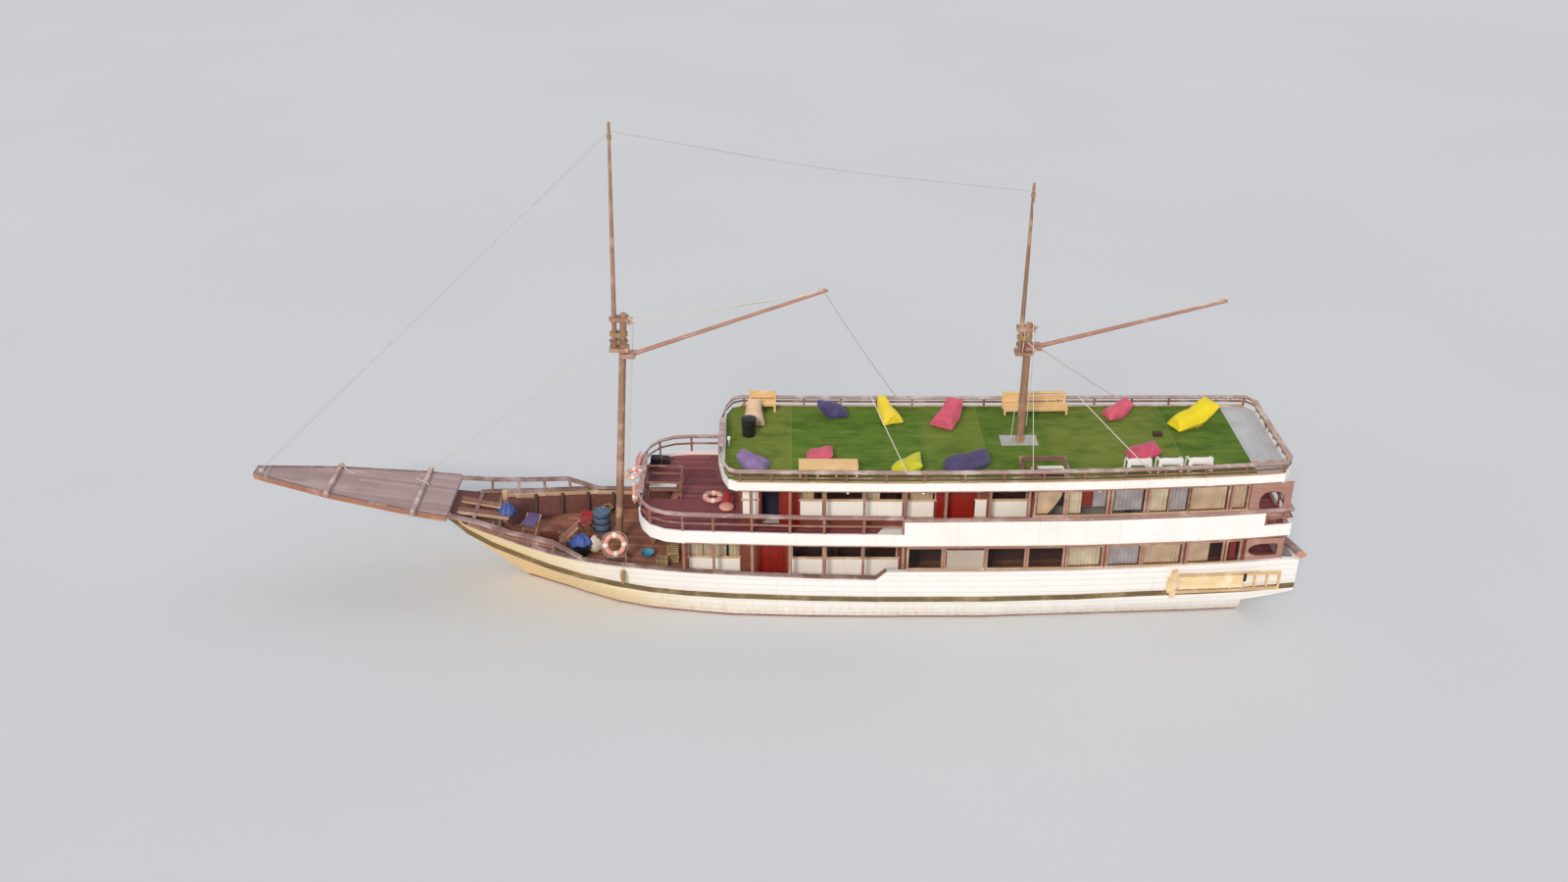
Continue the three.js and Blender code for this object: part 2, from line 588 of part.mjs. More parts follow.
// Brown rail all round the upper deck: open in front and aft, a cap on the white bulwark between
const railDeep = 90;
function buildUpperRail() {
  const capFront = edgeRing(upperEnds[0], whiteBulwark.x0, upperHalf, railDeep, upperRailTop - 50, upperRailTop, false);
  const midFront = edgeRing(upperEnds[0], whiteBulwark.x0, upperHalf, 50, 3370, 3420, false);
  const parts = [capFront, midFront];
  const foot = upperBandTop + gap;
  const standing = [-6870, ...postX.filter((x) => x < whiteBulwark.x0)];
  for (const [, side] of sides) {
    parts.push(bar(whiteBulwark.x0 - 60, whiteBulwark.x0 - gap, mirror(offset(upperHalf, -railDeep + 4), side),
      mirror(offset(upperHalf, -4), side), level(foot), level(upperRailTop - 6)));
    for (const x of standing) {
      const y = side * (narrowest(upperHalf, x, 35) - 30);
      parts.push(block(x - 35, x + 35, y - 25, y + 25, highest(level(foot), x, 35), level(upperRailTop)(x) - 10));
    }
    for (const x of [whiteBulwark.x1 + 36, 12300]) {
      const y = side * (narrowest(upperHalf, x, 35) - 30);
      parts.push(block(x - 35, x + 35, y - 25, y + 25, highest(level(foot), x, 35), level(bulwarkTop)(x) + 20));
    }
  }
  for (const y of frontPostY) {
    parts.push(block(upperEnds[0] + 5, upperEnds[0] + 55, y - 35, y + 35, level(foot)(upperEnds[0]) + 1,
      level(upperRailTop)(upperEnds[0]) - 10));
  }
  for (const y of [-1500, 0, 1500]) {
    parts.push(block(upperEnds[1] - 55, upperEnds[1] - 5, y - 35, y + 35, level(foot)(upperEnds[1]),
      level(bulwarkTop)(upperEnds[1]) + 20));
  }
  const lowRings = [[whiteBulwark.x0 - 10, railDeep, bulwarkTop + gap, bulwarkTop + 50],
    [whiteBulwark.x1 + gap, 50, 3330, 3380]];
  for (const [start, deep, z0, z1] of lowRings) {
    const inside = offset(upperHalf, -deep);
    const outer = bar(start, upperEnds[1], mirror(upperHalf, -1), upperHalf, level(z0), level(z1));
    const inner = bar(start - 20, upperEnds[1] - deep, mirror(inside, -1), inside, level(z0 - 50), level(z1 + 50));
    parts.push(cut(outer, inner));
  }
  return fuse(parts);
}

function buildSunDeck() {
  const deck = edgedDeck(...sunEnds, sunHalf, sunFloor, sunSlab, sunBandLow, sunBandTop);
  return cut(deck, block(hatch.x0, hatch.x1, hatch.y0, hatch.y1, 4500, 5100));
}

function buildTurf() {
  const half = offset(sunHalf, -edgeThick - 40);
  const strip = bar(-4600, 11300, mirror(half, -1), half, level(sunFloor + gap), level(sunFloor + turfThick));
  return cut(strip, block(hatch.x0 - 40, hatch.x1 + 40, hatch.y0 - 40, hatch.y1 + 40, 4500, 5200));
}

const sunPostX = [-4100, -3180, -2150, -950, 230, 1380, 2560, 3720, 4900, 6100, 7300, 8500, 9700, 10900, 12080];
function buildSunRail() {
  const cap = edgeRing(...sunEnds, sunHalf, 100, sunRailTop - 45, sunRailTop, true);
  const lower = edgeRing(...sunEnds, sunHalf, 50, 4970, 5020, true);
  const foot = sunBandTop + gap;
  const posts = sunPostX.flatMap((x) => sides.map(([, side]) => {
    const y = side * (narrowest(sunHalf, x, 30) - 32);
    return block(x - 30, x + 30, y - 24, y + 24, highest(level(foot), x, 30), level(sunRailTop)(x) - 10);
  }));
  const ends = sunEnds.flatMap((x, i) => [-600, 600].map((y) => {
    const inward = i === 0 ? 1 : -1;
    return block(x + inward * 8, x + inward * 54, y - 30, y + 30, highest(level(foot), x, 54), level(sunRailTop)(x) - 10);
  }));
  return fuse(cap, lower, posts, ends);
}

// Steep ladder with its treads and the rails round the opening that it serves
function ladder(x0, z0, x1, z1, y0, y1, steps) {
  const parts = [];
  for (const y of [y0 + 20, y1 - 20]) parts.push(beam([x0, y, z0], [x1, y, z1], 40, 120));
  for (let i = 1; i < steps; i += 1) {
    const t = i / steps;
    const x = x0 + (x1 - x0) * t;
    const z = z0 + (z1 - z0) * t;
    parts.push(block(x - 70, x + 70, y0 + 10, y1 - 10, z - 15, z + 15));
  }
  return fuse(parts);
}

function wellRails(well, floor, high, openEnd) {
  const parts = [];
  const post = (x, y) => bar(x - 23, x + 23, y - 23, y + 23, floor, offset(floor, high - 6));
  const rail = (xa, xb, ya, yb, z) => bar(xa - 25, xb + 25, ya - 25, yb + 25, offset(floor, z), offset(floor, z + 50));
  for (const [x, y] of [[well.x0, well.y0], [well.x0, well.y1], [well.x1, well.y0], [well.x1, well.y1]]) {
    parts.push(post(x, y));
  }
  for (const z of [high - 50, high * 0.5]) {
    for (const y of [well.y0, well.y1]) parts.push(rail(well.x0, well.x1, y, y, z));
    const x = openEnd > 0 ? well.x0 : well.x1;
    parts.push(rail(x, x, well.y0 + 10, well.y1 - 10, z + 3));
  }
  return parts;
}

// Frame across the open end, whose feet reach the ladder's head
function wellHead(x, ladderX, feet, y0, y1, floor, high) {
  return [
    ...feet.map((y) => bar(Math.min(x, ladderX), Math.max(x, ladderX), y - 14, y + 14,
      offset(floor, 2), offset(floor, 60))),
    ...feet.map((y) => bar(x - 20, x + 20, y - 20, y + 20, floor, offset(floor, high - 40))),
    bar(x - 17, x + 17, y0, y1, offset(floor, high - 46), offset(floor, high - 8)),
  ];
}

function buildForeStair() {
  const floor = level(upperFloor + gap);
  const well = {
    x0: stairWell.x0 - 40, x1: stairWell.x1 + 40, y0: stairWell.y0 - 40, y1: stairWell.y1 + 40,
  };
  const steps = ladder(-7050, deckLine(-7050) + 60, -6150, floor(-6150) + 20, -150, 450, 7);
  return fuse(wellRails(well, floor, 640, 1), steps,
    wellHead(well.x1, -6230, [-130, 430], well.y0, well.y1, floor, 640));
}

const hatchRail = { fore: 370, round: 60, high: 300 };
function buildSunStair() {
  const floor = level(sunFloor + turfThick + gap);
  const well = {
    x0: hatch.x0 - hatchRail.fore, x1: hatch.x1 + hatchRail.round,
    y0: hatch.y0 - hatchRail.round, y1: hatch.y1 + hatchRail.round,
  };
  const steps = ladder(5480, level(upperFloor)(5480) + 60, 4760, floor(4760) + 30, hatch.y0 + 60, hatch.y1 - 60, 8);
  return fuse(wellRails(well, floor, hatchRail.high, -1), steps,
    wellHead(well.x0, 4790, [hatch.y0 + 80, hatch.y1 - 80], well.y0, well.y1, floor, hatchRail.high));
}

// Lower mast with the trestle and cap that hold its topmast
const mastSides = 14;
function lowerMast(mast) {
  return rod([mast.foot[0], 0, mast.foot[1]], [mast.head[0], 0, mast.head[1]],
    lowerRadius.foot, lowerRadius.head, mastSides);
}

// Bore of the gaff's jaws: its flats clear the mast's corners at every angle
function jawBore(mast) {
  const wide = (r) => (r + jawClear) / Math.cos(Math.PI / mastSides);
  return rod([mast.foot[0], 0, mast.foot[1]], [mast.head[0], 0, mast.head[1]],
    wide(lowerRadius.foot), wide(lowerRadius.head), mastSides, Math.PI / mastSides);
}

function topMast(mast, grow = 0) {
  return rod([mast.topHeel[0], 0, mast.topHeel[1] - grow], [mast.topHead[0], 0, mast.topHead[1] + grow],
    topRadius.heel + grow, topRadius.head + grow, 12);
}

function mastLine(mast, z) {
  const t = (z - mast.foot[1]) / (mast.head[1] - mast.foot[1]);
  return mast.foot[0] + (mast.head[0] - mast.foot[0]) * t;
}

function buildMast(mast) {
  const trestleZ = mast.topHeel[1] - trestleHalf;
  const capZ = mast.head[1] - 160;
  const under = trestleZ - trestleHalf;
  const trestle = block(mast.topHeel[0] - 150, mastLine(mast, trestleZ) + 190, -190, 190,
    under, trestleZ + trestleHalf);
  const shelf = block(mast.topHeel[0] - 110, mastLine(mast, trestleZ), -90, 90, under - shelfDeep, under + 10);
  const cap = block(mastLine(mast, capZ) - 360, mastLine(mast, capZ) + 160, -150, 150, capZ - 60, capZ + 60);
  const below = bar(mast.foot[0] - 300, mast.foot[0] + 300, -300, 300, mast.foot[1] - 200, mast.floor);
  return cut(fuse(lowerMast(mast), trestle, shelf, cap), topMast(mast, gap), below);
}

// Gaff whose jaws hold the mast and turn on it
function buildGaff(mast, gaff) {
  const [hx, hz] = gaff.heel;
  const spar = rod([hx, 0, hz], [gaff.peak[0], 0, gaff.peak[1]], gaffRadius.heel, gaffRadius.peak, 10);
  const x = mastLine(mast, hz);
  const jaws = block(x - 70, hx + 160, -200, 200, hz - 55, hz + 75);
  const hole = jawBore(mast);
  const mouth = block(x - 400, x, -150, 150, hz - 300, hz + 300);
  return cut(fuse(spar, jaws), hole, mouth);
}

function stay(points) {
  const curve = points.length === 2
    ? new THREE.LineCurve3(...points)
    : new THREE.CatmullRomCurve3(points);
  const shape = new THREE.Shape();
  for (let i = 0; i < 6; i += 1) {
    const angle = (i / 6) * 2 * Math.PI;
    const [u, v] = [stayRadius * Math.cos(angle), stayRadius * Math.sin(angle)];
    if (i === 0) shape.moveTo(u, v);
    else shape.lineTo(u, v);
  }
  shape.closePath();
  return fromGeometry(new THREE.ExtrudeGeometry(shape, {
    steps: points.length === 2 ? 1 : 12, extrudePath: curve, bevelEnabled: false,
  }));
}

function buildRudder() {
  const top = counterLow.start + 20;
  const blade = block(rudderAxisX + 30, rudderAxisX + 780, -35, 35, -1640, 480);
  const front = block(rudderAxisX - 90, rudderAxisX + 60, -45, 45, -1640, 480);
  const stock = rod([rudderAxisX, 0, aperture.low + gap], [rudderAxisX, 0, top - 8], 55, 55, 12);
  return fuse(blade, front, stock);
}

function buildPropeller() {
  const start = aperture.x0 + 120 + gap;
  const hub = rod([start + 150, 0, shaftZ], [start + 400, 0, shaftZ], 95, 60, 12);
  const shaft = rod([start, 0, shaftZ], [start + 200, 0, shaftZ], 42, 42, 12);
  const blades = [0, 1, 2, 3].map((i) => {
    const geometry = new THREE.BoxGeometry(26, 300, propRadius - 60);
    geometry.translate(0, 0, (propRadius + 60) / 2);
    geometry.rotateZ(0.6);
    geometry.rotateX((i * Math.PI) / 2);
    geometry.translate(start + 270, 0, shaftZ);
    return fromGeometry(geometry);
  });
  const disc = rod([start, 0, shaftZ], [start + 500, 0, shaftZ], propRadius, propRadius, 24);
  return fuse(hub, shaft, fuse(blades).intersect(disc));
}

// Boarding ladder stowed along the port quarter, resting on the rub rail
const boarding = { x0: 9150, x1: 12450, low: 1050, high: 1600, thick: 70 };
function buildBoardingLadder() {
  const edge = offset(halfRubLine, rubThick + 12);
  const [e0, e1] = [edge(boarding.x0), edge(boarding.x1)];
  const chord = (x) => e0 + ((e1 - e0) * (x - boarding.x0)) / (boarding.x1 - boarding.x0);
  const bulge = Math.max(...between(boarding.x0, boarding.x1, edge).map((x) => edge(x) - chord(x)));
  const near = (x) => -(chord(x) + bulge + gap);
  const far = (x) => near(x) - boarding.thick;
  const straight = (x0, x1, z0, z1) => loft([x0, x1], (x) => [
    [near(x), z0], [far(x), z0], [far(x), z1], [near(x), z1],
  ]);
  const poles = [boarding.low, boarding.high].map((z) => straight(boarding.x0, boarding.x1, z, z + 80));
  const rungs = [];
  for (let x = boarding.x0 + 200; x < boarding.x1; x += 380) {
    rungs.push(straight(x, x + 60, boarding.low + 20, boarding.high + 20));
  }
  const foot = straight(boarding.x0 - 60, boarding.x0 + 60, boarding.low - 160, boarding.high + 280);
  return fuse(poles, rungs, foot);
}

// What stands on the turf follows its rise
const turfTop = level(sunFloor + turfThick + gap);

// Bean bag: a slumped pear, widest at its seat and rising to a soft top at one end
const bagColumns = ['name', 'x', 'y', 'long', 'wide', 'high', 'turn', 'color'];
const bagRows = [
  ['bean_bag_beige', -3760, 1400, 950, 800, 620, 90, 0xc9ab86],
  ['bean_bag_navy_starboard', -1280, 1780, 1000, 780, 600, 200, 0x1e2546],
  ['bean_bag_yellow_starboard', 500, 1640, 1150, 780, 620, 110, 0xe9d613],
  ['bean_bag_pink_middle', 2440, 1350, 1250, 950, 700, 60, 0xb02c50],
  ['bean_bag_pink_starboard', 7900, 1640, 950, 740, 540, 20, 0xb52a52],
  ['bean_bag_yellow_large', 10150, 1000, 1650, 900, 720, 25, 0xe6dc12],
  ['bean_bag_purple', -3750, -1700, 1050, 800, 500, 160, 0x4a2350],
  ['bean_bag_pink_port', -1690, -1100, 950, 750, 320, 0, 0xb83356],
  ['bean_bag_lime', 850, -1900, 1050, 780, 560, 80, 0xd3e02a],
  ['bean_bag_navy_port', 2720, -1580, 1500, 950, 620, 0, 0x1a1f3c],
  ['bean_bag_pink_aft', 8150, -950, 1150, 820, 420, 10, 0xae2b55],
];
function beanBag(bag) {
  const rings = [[0, 0.72], [0.1, 0.96], [0.3, 1], [0.55, 0.82], [0.8, 0.48], [1, 0.16]];
  const turns = 12;
  const vertices = rings.flatMap(([t, r]) => Array.from({ length: turns }, (_, i) => {
    const a = (i / turns) * 2 * Math.PI;
    const lean = 0.26 * bag.long * t * t;
    return [r * 0.5 * bag.long * Math.cos(a) * (1 - 0.35 * t) + lean, r * 0.5 * bag.wide * Math.sin(a), t * bag.high];
  }));
  const triangles = [];
  for (let i = 0; i < rings.length - 1; i += 1) {
    for (let j = 0; j < turns; j += 1) {
      const a = i * turns + j;
      const b = i * turns + ((j + 1) % turns);
      triangles.push([a, b, b + turns], [a, b + turns, a + turns]);
    }
  }
  const last = (rings.length - 1) * turns;
  for (let j = 1; j < turns - 1; j += 1) triangles.push([0, j + 1, j], [last, last + j, last + j + 1]);
  const [c, s] = [Math.cos((bag.turn * Math.PI) / 180), Math.sin((bag.turn * Math.PI) / 180)];
  const placed = vertices.map(([x, y, z]) => {
    const px = bag.x + x * c - y * s;
    return [px, bag.y + x * s + y * c, turfTop(px) + z];
  });
  return closed(placed, triangles);
}

// Seat with a back: legs, seat, back; the back stands on the side given
function bench(x, y, long, deep, seat, high, backSide) {
  const piece = (xa, xb, ya, yb, za, zb) => bar(xa, xb, ya, yb, offset(turfTop, za), offset(turfTop, zb));
  const parts = [piece(x - long / 2, x + long / 2, y - deep / 2, y + deep / 2, seat - 45, seat)];
  const backY = y + backSide * (deep / 2 - 24);
  const rails = high > seat + 100 ? [seat + (high - seat) * 0.35, high - 90] : [];
  for (const z of rails) parts.push(piece(x - long / 2, x + long / 2, backY - 20, backY + 20, z, z + 90));
  for (const dx of [-1, 1]) {
    for (const dy of [-1, 1]) {
      const px = x + dx * (long / 2 - 35);
      const py = y + dy * (deep / 2 - 38);
      const top = dy === backSide ? high : seat;
      parts.push(piece(px - 30, px + 30, py - 30, py + 30, 0, top - 5));
    }
  }
  return fuse(parts);
}

// Hull and its fittings
add('hull', buildHull(), 'white');
add('bulwark', buildBulwark(), 'white');
for (const [name, side] of sides) {
  add(`rub_rail_${name}`, rubRail(side), 'olive');
  add(`bow_rail_${name}`, bowRail(side), 'brown');
}
add('main_deck', buildMainDeck(), 'plank');
add('bow_platform', buildPlatform(), 'plank');
const samson = { x: -11650, head: 2450, top: 3080 };
add('samson_post', fuse(
  bar(samson.x - 90, samson.x + 90, -90, 90, offset(deckLine, gap), samson.head),
  block(samson.x - 70, samson.x + 70, -70, 70, samson.head - 20, samson.top),
  block(samson.x - 60, samson.x + 60, -420, 420, 2180, 2300),
), 'brown');
add('engine_block', block(engine.x0, engine.x1, -engine.half, engine.half,
  engineRoom.floor + gap, engineRoom.floor + engine.high), 'steel');
add('propeller', buildPropeller(), 'bronze');
add('rudder', buildRudder(), 'brown');
add('boarding_ladder', buildBoardingLadder(), 'pale');

// Lower house and the frames of its side galleries
add('lower_house', buildLowerHouse(), 'brown');
add('lower_frames', galleryFrames(offset(topLine, capThick + gap), postX.filter((x) => x < 1000),
  upperFloor - upperSlab, upperHalf, [...postX.filter((x) => x > 1000), ...aftBeamX]), 'brown');
for (const [name, side] of sides) {
  const sill = Math.max(deckLine(lowerDoor.from), deckLine(lowerDoor.to)) + 60;
  add(`lower_door_${name}`, hingedLeaf(lowerDoor, side, sill), 'redDoor');
}

// Upper deck, its house and the frames of its side galleries
add('upper_deck', buildUpperDeck(), 'white');
add('upper_rail', buildUpperRail(), 'brown');
add('upper_house', buildUpperHouse(), 'brown');
add('upper_frames', galleryFrames(level(upperFloor + gap), postX.filter((x) => x > -4500),
  sunFloor - sunSlab, sunHalf, aftBeamX), 'brown');
for (const [name, side] of sides) {
  add(`sliding_door_${name}`, slidingLeaf(side), 'redDoor');
  const sill = Math.max(level(upperFloor)(cabinDoor.from), level(upperFloor)(cabinDoor.to)) + 60;
  add(`cabin_door_${name}`, hingedLeaf(cabinDoor, side, sill), 'redDoor');
}
add('fore_stair', buildForeStair(), 'brown');

// Sun deck
add('sun_deck', buildSunDeck(), 'white');
add('turf', buildTurf(), 'turf');
add('sun_rail', buildSunRail(), 'brown');
add('sun_stair', buildSunStair(), 'brown');

// Masts, gaffs and main stays
const plateTop = highest(turfTop, mastPlate.x, mastPlate.long / 2) + mastPlate.thick;
add('mast_plate', bar(mastPlate.x - mastPlate.long / 2, mastPlate.x + mastPlate.long / 2,
  mastPlate.y - mastPlate.wide / 2, mastPlate.y + mastPlate.wide / 2, turfTop, plateTop), 'steel');
mainMast.floor = plateTop + gap;
foreMast.floor = offset(deckLine, gap);
for (const [name, mast, gaff] of [['fore', foreMast, foreGaff], ['main', mainMast, mainGaff]]) {
  add(`${name}mast`, buildMast(mast), 'brown');
  add(`${name}_topmast`, topMast(mast), 'brown');
  add(`${name}_gaff`, buildGaff(mast, gaff), 'brown');
}
const foreHead = new THREE.Vector3(foreMast.topHead[0], 0, foreMast.topHead[1] - 250);
const mainHead = new THREE.Vector3(mainMast.topHead[0], 0, mainMast.topHead[1] - 250);
const tip = new THREE.Vector3(-19230, 0, platformTop(-19230) + 60);
const eyeGrown = block(-19280 - gap, -19180 + gap, -30 - gap, 30 + gap, 3500, platformTop(-19230) + 110 + gap);
add('topmast_stay', cut(stay([foreHead, tip]), topMast(foreMast, gap), eyeGrown), 'cable');
const hound = new THREE.Vector3(foreMast.topHeel[0] + 10, 0, foreMast.topHeel[1] + 330);
const beamEnd = new THREE.Vector3(-14270, 1250, platformTop(-14270) + 90);
const beamGrown = block(-14270 - crossbeamSize / 2 - gap, -14270 + crossbeamSize / 2 + gap, -1500, 1500,
  2900, platformTop(-14270) + 100 + gap);
add('forestay', cut(stay([hound, beamEnd]), topMast(foreMast, gap), beamGrown), 'cable');
const middle = foreHead.clone().add(mainHead).multiplyScalar(0.5);
middle.z -= 180;
add('triatic_stay', cut(stay([foreHead, middle, mainHead]), topMast(foreMast, gap), topMast(mainMast, gap)), 'cable');

// Loose furniture of the decks
for (const row of bagRows) {
  const bag = Object.fromEntries(row.map((v, i) => [bagColumns[i], v]));
  materials[bag.name] = new THREE.MeshStandardMaterial({ color: bag.color, roughness: 0.85 });
  add(bag.name, beanBag(bag), bag.name);
}
add('bench_forward', bench(-3495, 2230, 860, 420, 300, 600, 1), 'pale');
add('bench_large', bench(5300, 2080, 2050, 560, 230, 560, 1), 'pale');
add('bench_port', bench(-1480, -2090, 1750, 560, 400, 400, -1), 'pale');
[7780, 8710, 9600].forEach((x, i) => {
  add(`white_chair_${i + 1}`, bench(x, -1930, 770, 500, 330, 600, -1), 'plastic');
});
// Round vessel standing on a deck that slopes
function vessel({ x, y, low, high, tall, sides }, floor) {
  const body = rod([x, y, floor(x) - 60], [x, y, floor(x) + tall], low, high, sides);
  return cut(body, bar(x - 500, x + 500, y - 500, y + 500, offset(floor, -200), floor));
}
add('drum', vessel({ x: -8720, y: 620, low: 290, high: 290, tall: 750, sides: 20 }, offset(deckLine, gap)), 'blue');
add('deck_bin', vessel({ x: -3900, y: 420, low: 208, high: 240, tall: 620, sides: 16 }, turfTop), 'black');

export default object;
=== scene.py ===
import bmesh
import bpy
import math
import random
import numpy as np
from mathutils import Matrix, Vector
from mathutils.bvhtree import BVHTree


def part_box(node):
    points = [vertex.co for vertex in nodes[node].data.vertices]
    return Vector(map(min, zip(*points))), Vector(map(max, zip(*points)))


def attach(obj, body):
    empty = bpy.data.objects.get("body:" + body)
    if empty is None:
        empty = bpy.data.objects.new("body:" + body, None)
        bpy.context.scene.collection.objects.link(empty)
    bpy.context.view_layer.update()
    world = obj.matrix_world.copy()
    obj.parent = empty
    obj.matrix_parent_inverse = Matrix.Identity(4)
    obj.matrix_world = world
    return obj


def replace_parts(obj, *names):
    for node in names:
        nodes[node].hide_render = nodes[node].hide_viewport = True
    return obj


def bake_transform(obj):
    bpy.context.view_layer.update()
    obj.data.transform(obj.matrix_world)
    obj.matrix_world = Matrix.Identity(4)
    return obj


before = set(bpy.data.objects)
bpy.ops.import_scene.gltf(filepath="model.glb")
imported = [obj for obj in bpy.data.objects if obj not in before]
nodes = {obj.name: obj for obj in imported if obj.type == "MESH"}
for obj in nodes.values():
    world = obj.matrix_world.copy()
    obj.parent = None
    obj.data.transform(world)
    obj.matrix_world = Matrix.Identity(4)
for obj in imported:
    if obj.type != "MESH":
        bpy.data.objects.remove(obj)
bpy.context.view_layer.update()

# Metres. +X runs aft, +Y to starboard, +Z up from the waterline.
SIDES = (("port", -1), ("starboard", 1))


class Line:
    """Straight lines between the rows of a table of place and value, with an offset and a factor."""

    def __init__(self, rows, shift=0.0, factor=1.0):
        self.rows, self.shift, self.factor = rows, shift, factor
        self.xs = [row[0] for row in rows]
        self.values = [row[1] for row in rows]

    def __call__(self, x):
        return self.factor * float(np.interp(x, self.xs, self.values)) + self.shift

    def __add__(self, by):
        return Line(self.rows, self.shift + by, self.factor)

    def __sub__(self, by):
        return self + -by

    def __mul__(self, by):
        return Line(self.rows, self.shift * by, self.factor * by)


def at(value, x):
    """A number as it is, or a line's value at a place."""
    return value(x) if callable(value) else value


# Hull frames: place, top of hull, main deck, half breadths at the rub rail and the top
HULL = [
    (-13.9, 2.78, 2.70, 0.10, 0.13), (-13.6, 2.77, 2.70, 0.25, 0.45), (-13.3, 2.74, 2.60, 0.42, 0.72),
    (-12.8, 2.50, 2.0, 0.70, 1.03), (-12.0, 2.36, 1.49, 0.98, 1.35), (-11.0, 2.18, 1.39, 1.34, 1.70),
    (-10.1, 2.05, 1.33, 1.69, 2.01), (-9.1, 1.94, 1.275, 1.99, 2.27), (-8.0, 1.85, 1.22, 2.22, 2.40),
    (-6.9, 1.775, 1.17, 2.35, 2.49), (-5.8, 1.71, 1.125, 2.45, 2.56), (-4.4, 1.65, 1.08, 2.54, 2.62),
    (-2.0, 1.565, 1.025, 2.62, 2.67), (0.0, 1.53, 1.0, 2.66, 2.70), (0.3, 1.80, 1.0, 2.66, 2.70),
    (3.4, 1.805, 1.01, 2.68, 2.705), (6.2, 1.85, 1.04, 2.66, 2.69), (8.2, 1.91, 1.075, 2.60, 2.64),
    (9.9, 1.99, 1.115, 2.53, 2.58), (11.4, 2.04, 1.155, 2.43, 2.49), (12.3, 2.09, 1.18, 2.34, 2.40),
    (13.0, 2.01, 1.20, 2.25, 2.31),
]


def hull_line(column):
    """One column of the hull's frames as a line along the ship."""
    return Line([(row[0], row[column]) for row in HULL])


top_z, deck_z, half_rub, half_top = (hull_line(i) for i in range(1, 5))

# Sheer of the upper decks above its lowest place, straight between these stations
SHEER, SHEER_LOW = 1.4e-3, 1.0
rise = Line([(x, SHEER * (x - SHEER_LOW) ** 2) for x in (-13.9, -10, -7.3, -4.8, -2, 1, 4, 7, 10, 13)])

# Plan outlines of the two upper decks and the bow platform: place and half width
UPPER_PLAN = [(-7.3, 1.25), (-7.15, 1.8), (-6.87, 2.23), (-6.4, 2.48), (-5.8, 2.57), (-2, 2.665),
              (1, 2.69), (6.2, 2.67), (9.9, 2.54), (11.4, 2.44), (12.55, 2.33)]
SUN_PLAN = [(-4.8, 0.95), (-4.65, 1.9), (-4.45, 2.42), (-4.2, 2.56), (1, 2.57), (6.2, 2.52),
            (9.9, 2.4), (11.4, 2.33), (12.12, 2.265), (12.38, 1.9)]
PLATFORM_PLAN = [(-19.4, 0.24), (-17, 0.83), (-14.27, 1.24), (-13.26, 1.30)]
upper_half, sun_half, platform_half = Line(UPPER_PLAN), Line(SUN_PLAN), Line(PLATFORM_PLAN)
platform_z = Line([(-19.4, 2.95 + 0.15 * 6.1), (-12.7, 2.95 - 0.15 * 0.6)])

# Wide plank of the foredeck's open rail: place and its outer edge, place and its top
open_rail_half = Line([(-13.26, 1.30), (-12.3, 1.44), (-11.26, 1.75), (-10.1, 2.03), (-9.0, 2.275)])
open_rail_z = Line([(-13.26, 2.94), (-12.65, 2.86), (-11.26, 2.62), (-9.94, 2.475), (-9.0, 2.01)])

# Levels above the sheer, the inset walls' half width, the bands' thickness, where the houses widen and end
UPPER_FLOOR, SUN_FLOOR, TURF = 2.98, 4.83, 4.853
UPPER_RAIL, SUN_RAIL, BULWARK_TOP = 3.67, 5.16, 3.56
INSET, BAND = 1.95, 0.065
LOWER_WIDE, UPPER_WIDE, HOUSE_AFT = 0.9, 4.64, 11.16
HAIR = 0.001
BENT = (HULL, rise.rows, UPPER_PLAN, SUN_PLAN, PLATFORM_PLAN, open_rail_half.rows, open_rail_z.rows)
BENDS = sorted({row[0] for table in BENT for row in table})


def level(z):
    """A line at one height above the sheer."""
    return rise + z


def turf_z(x):
    """The turf's surface."""
    return rise(x) + TURF


def stations(x0, x1):
    """The two ends and every bend of the ship's lines between them."""
    return [x0, *[x for x in BENDS if x0 + 0.004 < x < x1 - 0.004], x1]


def lower_wall(x):
    """Outer face of the lower house at a place along the ship."""
    return INSET if x < LOWER_WIDE else upper_half(x) - BAND


def upper_wall(x):
    """Outer face of the upper house at a place along the ship."""
    return INSET if x < UPPER_WIDE else sun_half(x) - BAND


def circle(count, start=0.0):
    """Angles evenly round a circle."""
    return [start + 2 * math.pi * k / count for k in range(count)]


def squared_ring(a, power):
    """A place on a ring of radius 1 that is the squarer, the higher its power."""
    c, s = math.cos(a), math.sin(a)
    reach = (abs(c) ** power + abs(s) ** power) ** (-1 / power)
    return c * reach, s * reach


def around_axis(normal):
    """A direction and two across it."""
    axis = Vector(normal).normalized()
    u = axis.orthogonal().normalized()
    return axis, u, axis.cross(u)


